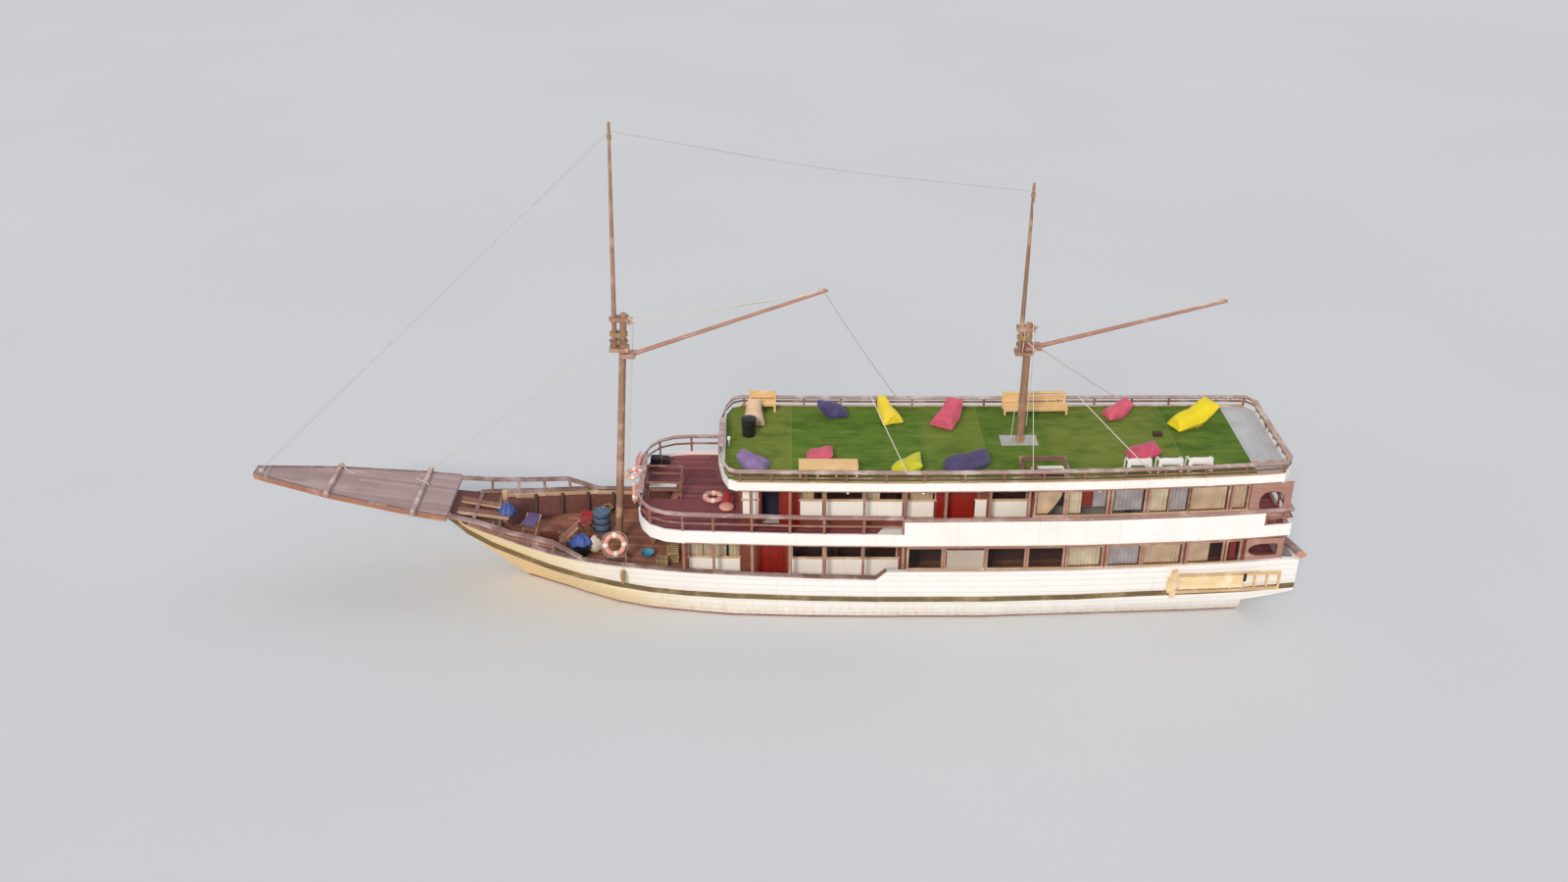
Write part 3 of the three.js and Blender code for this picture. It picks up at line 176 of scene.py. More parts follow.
class Shape:
    """Points and faces in the ship's frame, made into one piece by done(). Each call returns the shape."""

    def __init__(self):
        self.points, self.faces = [], []

    def add(self, points, faces):
        first = len(self.points)
        self.points += [tuple(p) for p in points]
        self.faces += [tuple(first + i for i in face) for face in faces]
        return self

    def loft(self, rings, closed=True, caps=True, around=False):
        """Skin over rows of points, each row with as many points."""
        n, rows = len(rings[0]), len(rings)
        faces = []
        for i in range(rows if around else rows - 1):
            for j in range(n if closed else n - 1):
                a, b = i * n + j, i * n + (j + 1) % n
                c, d = ((i + 1) % rows) * n + (j + 1) % n, ((i + 1) % rows) * n + j
                faces.append((a, b, c, d))
        if caps and not around:
            faces.append(tuple(range(n))[::-1])
            faces.append(tuple(range((rows - 1) * n, rows * n)))
        return self.add([p for ring in rings for p in ring], faces)

    def bar(self, x0, x1, y0, y1, z0, z1):
        """Bar along the ship whose faces may follow lines."""
        return self.loft([[(x, at(y, x), at(z, x)) for y, z in ((y0, z0), (y1, z0), (y1, z1), (y0, z1))]
                          for x in stations(x0, x1)])

    def both(self, x0, x1, y0, y1, z0, z1):
        """The same bar on both sides of the ship."""
        for _, side in SIDES:
            self.bar(x0, x1, y0 * side, y1 * side, z0, z1)
        return self

    def full(self, x0, x1, half, z0, z1):
        """Bar from side to side."""
        return self.bar(x0, x1, half * -1, half, z0, z1)

    def on_wall(self, wall, side, x0, x1, inner, outer, z0, z1):
        """Bar along a house wall, between two distances from its face and two levels above the sheer."""
        faces = [lambda x, out=out: side * (wall(x) + out) for out in (inner, outer)]
        return self.bar(x0, x1, *faces, level(z0), level(z1))

    def block(self, x0, x1, y0, y1, z0, z1):
        return self.loft([[(x, y0, z0), (x, y1, z0), (x, y1, z1), (x, y0, z1)] for x in (x0, x1)])

    def beam(self, a, b, wide, deep, up=(0, 0, 1)):
        """Squared beam between two points."""
        a, b = Vector(a), Vector(b)
        ahead = (b - a).normalized()
        across = ahead.cross(Vector(up)).normalized()
        above = across.cross(ahead)
        w, d = wide / 2, deep / 2
        corners = [(-w, -d), (w, -d), (w, d), (-w, d)]
        return self.loft([[end + across * u + above * v for u, v in corners] for end in (a, b)])

    def tube(self, path, radius, sides=8, closed=False, flat=1.0):
        """Round bar along points; radius may be one number or one for each point."""
        path = [Vector(p) for p in path]
        count = len(path)
        radii = radius if hasattr(radius, "__len__") else [radius] * count
        ahead = []
        for i in range(count):
            before = path[(i - 1) % count] if closed or i else path[i]
            after = path[(i + 1) % count] if closed or i < count - 1 else path[i]
            ahead.append((after - before).normalized())
        side = ahead[0].orthogonal().normalized()
        rings = []
        for point, direction, r in zip(path, ahead, radii):
            side = (side - direction * side.dot(direction)).normalized()
            other = direction.cross(side)
            rings.append([point + side * (r * math.cos(a)) + other * (r * flat * math.sin(a))
                          for a in circle(sides)])
        return self.loft(rings, around=closed)

    def lathe(self, profile, centre, sides=24, tilt=None):
        """Turned form: rows of radius and height about an upright axis, which tilt may lay over."""
        turn = tilt or Matrix.Identity(3)
        return self.loft([[Vector(centre) + turn @ Vector((r * math.cos(a), r * math.sin(a), z))
                           for a in circle(sides)] for r, z in profile])

    def torus(self, centre, radius, thick, normal=(0, 0, 1), turns=32, sides=12, start=0.0, end=None):
        """Ring, or part of one between two angles."""
        _, u, v = around_axis(normal)
        whole = end is None
        end = 2 * math.pi if whole else end
        steps = [start + (end - start) * k / (turns if whole else turns - 1) for k in range(turns)]
        path = [Vector(centre) + u * (radius * math.cos(a)) + v * (radius * math.sin(a)) for a in steps]
        return self.tube(path, thick, sides, closed=whole)

    def coil(self, centre, half, radius, turns, along="z"):
        """Rope wound closely round a spar that lies along an axis."""
        steps = 20
        path = []
        for k in range(turns * steps + 1):
            u, v = (half * part for part in squared_ring(2 * math.pi * k / steps, 6))
            run = (k / steps - turns / 2) * radius * 2.1
            path.append(Vector(centre) + Vector((u, v, run) if along == "z" else (u, run, v)))
        return self.tube(path, radius, 6)

    def done(self, name, material, slot, body="root", bevel=0.0, smooth=True, angle=32):
        mesh = bpy.data.meshes.new(name)
        mesh.from_pydata([tuple(p) for p in self.points], [], self.faces)
        work = bmesh.new()
        work.from_mesh(mesh)
        bmesh.ops.recalc_face_normals(work, faces=work.faces)
        work.to_mesh(mesh)
        work.free()
        piece = bpy.data.objects.new(name, mesh)
        bpy.context.scene.collection.objects.link(piece)
        mesh.materials.append(material)
        if body is not None:
            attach(piece, body)
        if bevel:
            round_edges(piece, bevel, angle)
        if smooth:
            shade_smooth(piece)
            if not bevel:
                mesh.set_sharp_from_angle(angle=math.radians(angle))
        return piece


def shade_smooth(piece):
    """Shades every face of a piece smooth."""
    for face in piece.data.polygons:
        face.use_smooth = True


def round_edges(piece, width, angle):
    """Rounded edges, with flat faces left flat."""
    rounding = piece.modifiers.new("edges", "BEVEL")
    rounding.width, rounding.segments = width, 2
    rounding.limit_method, rounding.angle_limit = "ANGLE", math.radians(angle)
    piece.modifiers.new("normals", "WEIGHTED_NORMAL").keep_sharp = True


def rgb(red, green, blue):
    """A screen colour, 0 to 255 each, as the linear values a shader takes."""
    return tuple(((c / 255 + 0.055) / 1.055) ** 2.4 if c > 10 else c / 3295 for c in (red, green, blue))


class Paint:
    """Nodes of one material, wired by short calls. Places are metres in the ship's frame."""

    def __init__(self, name, roughness=0.6, metallic=0.0):
        self.material = bpy.data.materials.new(name)
        self.material.use_nodes = True
        self.tree = self.material.node_tree
        self.shader = self.tree.nodes["Principled BSDF"]
        self.set("Roughness", roughness)
        self.set("Metallic", metallic)
        self.place = self.node("TexCoord").outputs["Object"]

    def node(self, kind, **settings):
        node = self.tree.nodes.new("ShaderNode" + kind)
        for key, value in settings.items():
            setattr(node, key, value)
        return node

    def feed(self, socket, value):
        if isinstance(value, bpy.types.NodeSocket):
            self.tree.links.new(value, socket)
        elif socket.type == "RGBA":
            socket.default_value = (*value, 1.0)
        else:
            socket.default_value = value

    def set(self, name, value):
        self.feed(self.shader.inputs[name], value)

    def math(self, operation, a, b=0.0):
        node = self.node("Math", operation=operation)
        for socket, value in zip(node.inputs, (a, b, 0.0)):
            self.feed(socket, value)
        return node.outputs[0]

    def add(self, a, b):
        return self.math("ADD", a, b)

    def less(self, a, b):
        return self.math("SUBTRACT", a, b)

    def times(self, a, b):
        return self.math("MULTIPLY", a, b)

    def axes(self, source=None):
        node = self.node("SeparateXYZ")
        self.feed(node.inputs[0], source or self.place)
        return node.outputs

    def facing(self):
        return self.axes(self.node("NewGeometry").outputs["Normal"])

    def scaled(self, x, y, z):
        node = self.node("Mapping")
        self.feed(node.inputs["Vector"], self.place)
        node.inputs["Scale"].default_value = (x, y, z)
        return node.outputs[0]

    def noise(self, scale, detail=3.0, rough=0.5, source=None, warp=0.0):
        node = self.node("TexNoise")
        self.feed(node.inputs["Vector"], source or self.place)
        for key, value in (("Scale", scale), ("Detail", detail), ("Roughness", rough), ("Distortion", warp)):
            node.inputs[key].default_value = value
        return node.outputs["Fac"]

    def cells(self, scale):
        node = self.node("TexVoronoi")
        self.feed(node.inputs["Vector"], self.place)
        node.inputs["Scale"].default_value = scale
        return node.outputs["Distance"]

    def remap(self, value, low, high, to_low=0.0, to_high=1.0):
        node = self.node("MapRange")
        for socket, number in zip(node.inputs, (value, low, high, to_low, to_high)):
            self.feed(socket, number)
        return node.outputs[0]

    def ramp(self, value, *stops, hold=False):
        node = self.node("ValToRGB")
        band = node.color_ramp
        band.interpolation = "CONSTANT" if hold else "LINEAR"
        while len(band.elements) < len(stops):
            band.elements.new(0.5)
        for element, (place, colour) in zip(band.elements, stops):
            element.position = place
            element.color = (*colour, 1.0)
        self.feed(node.inputs[0], value)
        return node.outputs[0]

    def mix(self, share, a, b):
        node = self.node("Mix", data_type="RGBA")
        self.feed(node.inputs[0], share)
        self.feed(node.inputs[6], a)
        self.feed(node.inputs[7], b)
        return node.outputs[2]

    def line_mask(self, value, pitch, width):
        """1 on thin lines a pitch apart, 0 between them."""
        part = self.math("FRACT", self.math("DIVIDE", value, pitch))
        across = self.math("ABSOLUTE", self.less(part, 0.5))
        half = width / pitch / 2
        return self.remap(across, 0.5 - half * 2, 0.5 - half)

    def number(self, value, pitch):
        """A number that stays the same across each plank."""
        return self.math("FLOOR", self.math("DIVIDE", value, pitch))

    def random(self, *values):
        """A random number from 0 to 1 for each set of plank numbers."""
        join = self.node("CombineXYZ")
        for socket, value in zip(join.inputs, values):
            self.feed(socket, value)
        node = self.node("TexWhiteNoise", noise_dimensions="3D")
        self.feed(node.inputs["Vector"], join.outputs[0])
        return node.outputs["Value"]

    def bump(self, height, depth, strength=1.0, under=None):
        node = self.node("Bump")
        node.inputs["Strength"].default_value = strength
        node.inputs["Distance"].default_value = depth
        self.feed(node.inputs["Height"], height)
        if under is not None:
            self.feed(node.inputs["Normal"], under)
        return node.outputs[0]

    def done(self, colour, normal=None, roughness=None):
        self.set("Base Color", colour)
        if roughness is not None:
            self.set("Roughness", roughness)
        if normal is not None:
            self.set("Normal", normal)
        return self.material


GRAIN = {"x": (1.1, 24, 24), "z": (24, 24, 1.1)}


def wood(name, dark, light, along="x", roughness=0.62, worn=None, wear=0.5, boards=None):
    """Timber with grain along one axis, board to board variation and sun-bleached patches."""
    p = Paint(name)
    fibre = p.noise(2.2, 5, 0.62, p.scaled(*GRAIN[along]), 0.4)
    broad = p.noise(0.9, 3, 0.5, p.scaled(*[g / 5 for g in GRAIN[along]]))
    tone = p.add(p.times(fibre, 0.6), p.times(broad, 0.4))
    if boards:
        step = p.random(p.number(p.axes()[1], boards), 0.0, 0.0)
        tone = p.add(p.times(step, 0.22), p.times(tone, 0.78))
    colour = p.ramp(tone, (0.3, rgb(*dark)), (0.68, rgb(*light)))
    if worn:
        patch = p.remap(p.noise(1.7, 5, 0.6), 0.62 - 0.25 * wear, 0.8 - 0.25 * wear)
        colour = p.mix(patch, colour, rgb(*worn))
    rough = p.remap(fibre, 0.3, 0.7, roughness - 0.1, roughness + 0.14)
    return p.done(colour, p.bump(fibre, 0.004, 0.6), rough)


def planks(name, dark, light, seam, pitch, grime, roughness=0.72, seam_width=0.008):
    """Planks laid along the ship, with dark seams, staggered butts and trodden dirt."""
    p = Paint(name)
    length = 3.2
    run, over, _ = p.axes()
    board = p.number(over, pitch)
    shift = p.times(p.random(board, 3.0, 1.0), length)
    end = p.add(run, shift)
    tone = p.random(board, p.number(end, length), 5.0)
    fibre = p.noise(2.0, 5, 0.6, p.scaled(*GRAIN["x"]))
    mixed = p.add(p.times(tone, 0.45), p.times(fibre, 0.55))
    colour = p.ramp(mixed, (0.22, rgb(*dark)), (0.78, rgb(*light)))
    dirt = p.remap(p.noise(0.8, 6, 0.62), 0.5, 0.78, 0.0, 0.45)
    colour = p.mix(dirt, colour, rgb(*grime))
    butts = p.line_mask(end, length, seam_width * 0.8)
    lines = p.math("MAXIMUM", p.line_mask(over, pitch, seam_width), butts)
    colour = p.mix(p.times(lines, 0.8), colour, rgb(*seam))
    height = p.less(p.times(fibre, 0.3), lines)
    rough = p.remap(fibre, 0.3, 0.7, roughness - 0.1, roughness + 0.12)
    return p.done(colour, p.bump(height, 0.006, 0.7), rough)


def paint(name, base, stain, dirt=0.35, roughness=0.42, streaks=True, seam=None):
    """Brushed boat paint over boards, with run-down stains and a slightly uneven gloss."""
    p = Paint(name)
    patch = p.noise(0.7, 5, 0.6)
    colour = p.mix(p.remap(patch, 0.45, 0.75, 0.0, dirt), rgb(*base), rgb(*stain))
    if streaks:
        run = p.noise(1.4, 4, 0.6, p.scaled(5, 5, 0.35))
        colour = p.mix(p.remap(run, 0.55, 0.8, 0.0, dirt * 0.9), colour, rgb(*stain))
    brush = p.noise(3.0, 4, 0.6, p.scaled(0.8, 9, 9))
    height = p.times(brush, 0.4)
    if seam:
        lines = p.line_mask(p.axes()[0], seam, 0.012)
        colour = p.mix(p.times(lines, 0.45), colour, rgb(*stain))
        height = p.less(height, lines)
    rough = p.remap(patch, 0.3, 0.7, roughness - 0.1, roughness + 0.18)
    return p.done(colour, p.bump(height, 0.004, 0.5), rough)


def hull_paint():
    """White aft, in strakes along the sheer, with painted warm light that turns it cream at the bow, lower
    down and near the waterline; brown inside the foredeck's bulwark.
    """
    p = Paint("hull_paint")
    x, y, z = p.axes()
    aft = p.less(x, SHEER_LOW)
    sheer = p.times(p.times(aft, aft), SHEER)
    height = p.less(z, sheer)
    strake_wide = 0.21
    strake = p.number(height, strake_wide)
    # Painted warm light: the white turns cream towards the bow, and the cream reaches further aft the lower
    # it is on the side
    under = p.remap(height, 1.15, 0.75, 0.0, 2.4)
    base = p.ramp(p.remap(p.less(x, under), -14.0, -4.0), (0.0, rgb(246, 212, 156)),
                  (0.36, rgb(250, 228, 184)), (0.62, rgb(253, 249, 240)), (1.0, rgb(254, 254, 253)))
    tone = p.random(strake, p.number(p.add(x, p.times(strake, 2.3)), 4.6), 0.0)
    base = p.mix(p.remap(tone, 0.0, 1.0, 0.0, 0.07), base, rgb(222, 208, 186))
    patch = p.noise(0.8, 6, 0.62)
    base = p.mix(p.remap(patch, 0.5, 0.8, 0.0, 0.22), base, rgb(226, 208, 180))
    run = p.noise(1.3, 5, 0.62, p.scaled(5.5, 5.5, 0.45))
    base = p.mix(p.remap(run, 0.58, 0.8, 0.0, 0.3), base, rgb(204, 174, 134))
    # Painted warm light reflected from the water: creamier towards the waterline, in patches set by the
    # streak noise
    low = p.remap(z, 0.75, 0.1)
    base = p.mix(p.times(low, p.remap(run, 0.35, 0.7, 0.1, 0.55)), base, rgb(214, 176, 110))
    lines = p.line_mask(height, strake_wide, 0.010)
    base = p.mix(p.times(lines, 0.3), base, rgb(176, 146, 108))
    wave = p.times(p.noise(1.2, 3), 0.05)
    boot = p.math("LESS_THAN", z, p.add(wave, 0.045))
    base = p.mix(boot, base, p.mix(p.noise(3.0, 4), rgb(150, 48, 34), rgb(108, 38, 34)))
    inward = p.math("LESS_THAN", p.times(p.facing()[1], y), -0.2)
    upward = p.math("GREATER_THAN", p.facing()[2], 0.6)
    fore = p.math("LESS_THAN", x, -5.9)
    grain = p.remap(p.noise(2.0, 5, 0.6, p.scaled(1.1, 20, 20)), 0.3, 0.7)
    inside = p.mix(grain, rgb(84, 44, 42), rgb(132, 84, 72))
    colour = p.mix(p.times(p.math("MAXIMUM", inward, upward), fore), base, inside)
    fine = p.noise(3.0, 4, 0.6, p.scaled(0.8, 9, 9))
    shape = p.less(p.times(fine, 0.5), lines)
    return p.done(colour, p.bump(shape, 0.006, 0.7), p.remap(patch, 0.3, 0.7, 0.36, 0.62))


def turf_grass():
    """Artificial turf in rolled strips, each with its own tint, tufted and trodden in patches."""
    p = Paint("turf_grass", roughness=0.95)
    x = p.axes()[0]
    low, high = -4.6, 11.3
    seams = (-2.58, 1.5, 3.4, 5.4, 9.3)
    tints = ((124, 140, 56), (88, 128, 36), (116, 138, 52), (84, 122, 34), (120, 138, 56), (88, 124, 38))
    places = [0.0, *[(s - low) / (high - low) for s in seams]]
    colour = p.ramp(p.remap(x, low, high), *zip(places, [rgb(*t) for t in tints]), hold=True)
    pile = p.noise(90.0, 3, 0.7, p.scaled(1.0, 1.0, 1.0))
    tuft = p.cells(42.0)
    colour = p.mix(p.remap(pile, 0.35, 0.7, 0.0, 0.5), colour, rgb(148, 166, 78))
    colour = p.mix(p.remap(tuft, 0.1, 0.5, 0.4, 0.0), colour, rgb(46, 78, 20))
    trodden = p.noise(0.9, 5, 0.62, p.scaled(1.0, 1.6, 1.0))
    colour = p.mix(p.remap(trodden, 0.46, 0.66, 0.0, 0.6), colour, rgb(58, 98, 24))
    brushed = p.noise(1.5, 4, 0.6, p.scaled(0.5, 2.2, 1.0))
    colour = p.mix(p.remap(brushed, 0.48, 0.7, 0.0, 0.5), colour, rgb(150, 158, 76))
    joint = None
    for seam in seams:
        near = p.math("LESS_THAN", p.math("ABSOLUTE", p.less(x, seam)), 0.012)
        joint = near if joint is None else p.math("MAXIMUM", joint, near)
    colour = p.mix(p.times(joint, 0.55), colour, rgb(150, 158, 92))
    p.set("Specular IOR Level", 0.25)
    height = p.add(pile, p.times(tuft, 0.7))
    return p.done(colour, p.bump(height, 0.02, 0.9))


def plastic(name, base, roughness=0.38, mottling=0.12, shade=None):
    """Moulded plastic, faintly mottled."""
    p = Paint(name)
    cloud = p.noise(6.0, 4)
    darker = shade or tuple(c * 0.72 for c in base)
    colour = p.mix(p.remap(cloud, 0.4, 0.75, 0.0, mottling * 3), rgb(*base), rgb(*darker))
    rough = p.remap(cloud, 0.3, 0.7, roughness - 0.08, roughness + 0.12)
    return p.done(colour, p.bump(p.noise(160.0, 2), 0.0006, 0.5), rough)


def metal(name, base, rust, roughness=0.42, metallic=0.75):
    """Metal with spots of rust or tarnish, which are rougher."""
    p = Paint(name, metallic=metallic)
    spots = p.noise(9.0, 6, 0.65)
    colour = p.mix(p.remap(spots, 0.5, 0.72, 0.0, 0.7), rgb(*base), rgb(*rust))
    rough = p.remap(spots, 0.3, 0.7, roughness - 0.1, roughness + 0.25)
    return p.done(colour, p.bump(spots, 0.001, 0.5), rough)


def cloth(name, base, shade, weave=520.0, roughness=0.8, fold=0.25, sheen=0.25):
    """Woven cloth: crossed threads, softly faded, with a little sheen."""
    p = Paint(name, roughness)
    x, y, z = p.axes()
    run = p.math("SINE", p.times(p.add(x, z), weave))
    over = p.math("SINE", p.times(p.less(y, z), weave))
    weft = p.times(run, over)
    fade = p.noise(3.2, 5, 0.6)
    colour = p.mix(p.remap(fade, 0.35, 0.75, 0.0, fold * 2), rgb(*base), rgb(*shade))
    colour = p.mix(p.remap(weft, -1.0, 1.0, 0.0, 0.14), colour, rgb(*shade))
    p.set("Sheen Weight", sheen)
    p.set("Sheen Roughness", 0.5)
    creases = p.noise(14.0, 4, 0.55, None, 1.2)
    under = p.bump(creases, 0.012, 0.5)
    return p.done(colour, p.bump(weft, 0.0006, 0.5, under))


def rope(name, base, shade, lay=150.0):
    """Laid rope: strands that wind round it."""
    p = Paint(name, 0.85)
    x, y, z = p.axes()
    strand = p.math("SINE", p.times(p.add(p.add(x, y), p.times(z, 1.3)), lay))
    dirt = p.noise(4.0, 5, 0.6)
    colour = p.mix(p.remap(strand, -1.0, 0.4, 0.5, 0.0), rgb(*base), rgb(*shade))
    colour = p.mix(p.remap(dirt, 0.45, 0.75, 0.0, 0.4), colour, rgb(*shade))
    return p.done(colour, p.bump(strand, 0.003, 0.7))


def window_glass():
    """Thin dark glass that the curtains show through."""
    p, tint = Paint("dark_glass", 0.12), (58, 46, 42)
    haze = p.noise(2.5, 4)
    p.set("Alpha", p.remap(haze, 0.3, 0.7, 0.10, 0.20))
    p.set("Specular IOR Level", 0.7)
    colour = p.mix(haze, rgb(*tint), rgb(*[c * 0.6 for c in tint]))
    return p.done(colour, p.bump(p.noise(0.8, 2), 0.002, 0.3))


# Materials
hull_coat = hull_paint()
white_coat = paint("white_paint", (254, 253, 250), (222, 210, 190), 0.22)
panel_coat = paint("panel_paint", (252, 248, 241), (214, 194, 172), 0.25)
band_coat = paint("band_paint", (254, 253, 251), (224, 208, 184), 0.22, seam=2.44)
grey_coat = paint("grey_deck_paint", (206, 206, 210), (150, 148, 150), 0.5, 0.6, streaks=False, seam=0.6)
olive_wood = wood("olive_wood", (88, 72, 44), (134, 112, 74), "x", 0.7, (160, 140, 104), 0.5)
rail_wood = wood("rail_wood", (116, 76, 64), (172, 124, 106), "x", 0.66, (192, 156, 140), 0.4)
sun_wood = wood("sun_rail_wood", (112, 72, 62), (158, 118, 104), "x", 0.7, (190, 160, 146), 0.4)
sun_cap_wood = wood("sun_cap_wood", (156, 124, 116), (204, 178, 170), "x", 0.74, (222, 204, 200), 0.6)
upper_cap_wood = wood("upper_cap_wood", (156, 118, 116), (204, 172, 168), "x", 0.72, (222, 198, 196), 0.5)
cap_wood = wood("cap_wood", (112, 82, 76), (164, 132, 126), "x", 0.72, (190, 168, 162), 0.6)
post_wood = wood("post_wood", (122, 84, 70), (178, 134, 116), "z", 0.66, (190, 160, 140), 0.4)
house_wood = wood("house_wood", (96, 44, 34), (142, 82, 64), "z", 0.62, (150, 104, 86), 0.3, 0.14)
frame_wood = wood("window_frame_wood", (136, 96, 80), (194, 152, 132), "x", 0.62, (206, 180, 158), 0.4)
sill_wood = wood("sill_wood", (176, 138, 108), (222, 192, 158), "x", 0.62, (236, 214, 188), 0.4)
mast_wood = wood("mast_wood", (122, 86, 70), (184, 144, 120), "z", 0.62, (206, 172, 148), 0.5)
gaff_wood = wood("gaff_wood", (150, 104, 90), (198, 150, 132), "x", 0.62, (206, 170, 154), 0.4)
screen_wood = wood("screen_wood", (150, 104, 92), (192, 148, 134), "x", 0.6, (204, 166, 152), 0.4)
orange_cap = wood("orange_paint", (206, 140, 108), (234, 178, 146), "x", 0.6)
dark_wood = wood("dark_wood", (58, 34, 30), (92, 58, 50), "x", 0.7)
red_wood = wood("red_door_wood", (112, 16, 10), (166, 38, 22), "z", 0.45, (132, 24, 14), 0.3)
pale_wood = wood("pale_wood", (222, 176, 118), (252, 216, 160), "x", 0.6, (250, 226, 182), 0.4)
gangway_wood = wood("gangway_wood", (236, 200, 146), (252, 230, 184), "x", 0.62, (254, 240, 210), 0.4)
ladder_wood = wood("ladder_wood", (206, 166, 112), (246, 214, 166), "x", 0.66, (250, 228, 190), 0.5)
edge_wood = wood("platform_edge_wood", (146, 94, 72), (186, 132, 106), "x", 0.66, (196, 152, 132), 0.4)
platform_planks = planks("platform_planks", (168, 142, 142), (198, 174, 174), (138, 112, 112), 0.155,
                         (150, 124, 122), 0.8, 0.006)
fore_planks = planks("foredeck_planks", (146, 92, 70), (190, 132, 106), (86, 52, 42), 0.125, (118, 80, 66))
maroon_planks = planks("maroon_planks", (118, 52, 60), (162, 92, 98), (78, 36, 42), 0.15, (108, 62, 66), 0.6)
grass = turf_grass()
steel = metal("grey_steel", (160, 162, 164), (120, 92, 70))
plate_steel = metal("plate_steel", (196, 197, 192), (150, 140, 126), 0.5, 0.3)
bronze = metal("bronze", (172, 128, 62), (92, 104, 78))
dark_steel = metal("dark_steel", (56, 54, 56), (92, 58, 40), 0.55, 0.6)
white_plastic = plastic("white_plastic", (246, 246, 244), 0.4, 0.06, (206, 206, 202))
blue_plastic = plastic("blue_plastic", (92, 118, 144), 0.42, 0.2, (60, 78, 98))
black_plastic = plastic("black_plastic", (30, 30, 34), 0.34, 0.14, (54, 54, 60))
ring_plastic = plastic("ring_plastic", (240, 178, 162), 0.5, 0.2, (212, 140, 126))
bowl_plastic = plastic("bowl_plastic", (74, 150, 178), 0.35, 0.1)
crate_plastic = plastic("crate_plastic", (196, 174, 130), 0.55, 0.2)
white_rope = rope("white_rope", (232, 228, 220), (186, 176, 164))
tan_rope = rope("tan_rope", (198, 164, 118), (140, 104, 70))
wire_rope = rope("wire_rope", (216, 218, 220), (150, 152, 156), 220.0)
blue_tarp = cloth("blue_tarp", (78, 106, 186), (40, 52, 116), 700.0, 0.5, 0.3, 0.0)
red_cloth = cloth("red_cloth", (176, 44, 52), (120, 26, 36))
purple_cloth = cloth("purple_cloth", (112, 92, 150), (70, 54, 104))
CURTAINS = {
    "cream": cloth("cream_curtain", (254, 240, 208), (236, 204, 160), 420.0, 0.85, 0.2),
    "beige": cloth("beige_curtain", (248, 220, 184), (220, 180, 142), 420.0, 0.85, 0.2),
    "grey": cloth("grey_curtain", (208, 202, 202), (164, 154, 156), 420.0, 0.85, 0.2),
    "red": cloth("red_curtain", (176, 44, 26), (116, 22, 16), 420.0, 0.85, 0.2),
}
dark_glass = window_glass()
# Painted shade: near-black navy for the walls of the lobby behind the open doorway, darker still in patches
lobby_painted_shade = paint("painted_shade_navy", (38, 34, 58), (24, 20, 40), 0.5, 0.7, streaks=False)
awning_sheet = paint("awning_panel", (186, 172, 158), (150, 134, 120), 0.4, 0.6)
canvas = cloth("canvas_bag", (232, 222, 208), (190, 174, 160))


# Solids that keep their shape: node, material and width of the rounded edges
DOORS = ("lower_door", "cabin_door", "sliding_door")
NODE_LOOKS = [
    ("hull", hull_coat, 0.012), ("bulwark", hull_coat, 0.012),
    ("rub_rail_port", olive_wood, 0.012), ("rub_rail_starboard", olive_wood, 0.012),
    ("bow_rail_port", cap_wood, 0.012), ("bow_rail_starboard", cap_wood, 0.012),
    ("main_deck", fore_planks, 0.0), ("bow_platform", platform_planks, 0.01),
    ("samson_post", post_wood, 0.015),
    ("engine_block", steel, 0.03), ("propeller", bronze, 0.006), ("rudder", olive_wood, 0.012),
    ("boarding_ladder", ladder_wood, 0.01), ("lower_house", house_wood, 0.006),
    ("lower_frames", post_wood, 0.01),
    ("upper_deck", band_coat, 0.0), ("upper_rail", rail_wood, 0.01), ("upper_house", house_wood, 0.006),
    ("upper_frames", post_wood, 0.01), ("fore_stair", rail_wood, 0.008), ("sun_deck", band_coat, 0.01),
    ("turf", grass, 0.006), ("sun_rail", sun_wood, 0.01), ("sun_stair", sun_wood, 0.008),
    ("mast_plate", plate_steel, 0.006), ("foremast", mast_wood, 0.02), ("mainmast", mast_wood, 0.02),
    ("fore_topmast", mast_wood, 0.0), ("main_topmast", mast_wood, 0.0),
    ("fore_gaff", gaff_wood, 0.012), ("main_gaff", gaff_wood, 0.012),
    ("topmast_stay", wire_rope, 0.0), ("forestay", white_rope, 0.0), ("triatic_stay", wire_rope, 0.0),
    *[(f"{door}_{side}", red_wood, 0.005) for door in DOORS for side, _ in SIDES],
]


def dress_nodes():
    """Gives each solid its material and rounded edges, and joins its flat facets."""
    for name, material, bevel in NODE_LOOKS:
        piece = nodes[name]
        piece.data.materials.clear()
        piece.data.materials.append(material)
        if "custom_normal" in piece.data.attributes:
            piece.data.attributes.remove(piece.data.attributes["custom_normal"])
        shade_smooth(piece)
        piece.modifiers.new("weld", "WELD").merge_threshold = 0.00002
        flat = piece.modifiers.new("flat", "DECIMATE")
        flat.decimate_type = "DISSOLVE"
        flat.angle_limit = math.radians(0.6)
        if bevel:
            round_edges(piece, bevel, 35)
        else:
            piece.modifiers.new("edges", "EDGE_SPLIT").split_angle = math.radians(40)


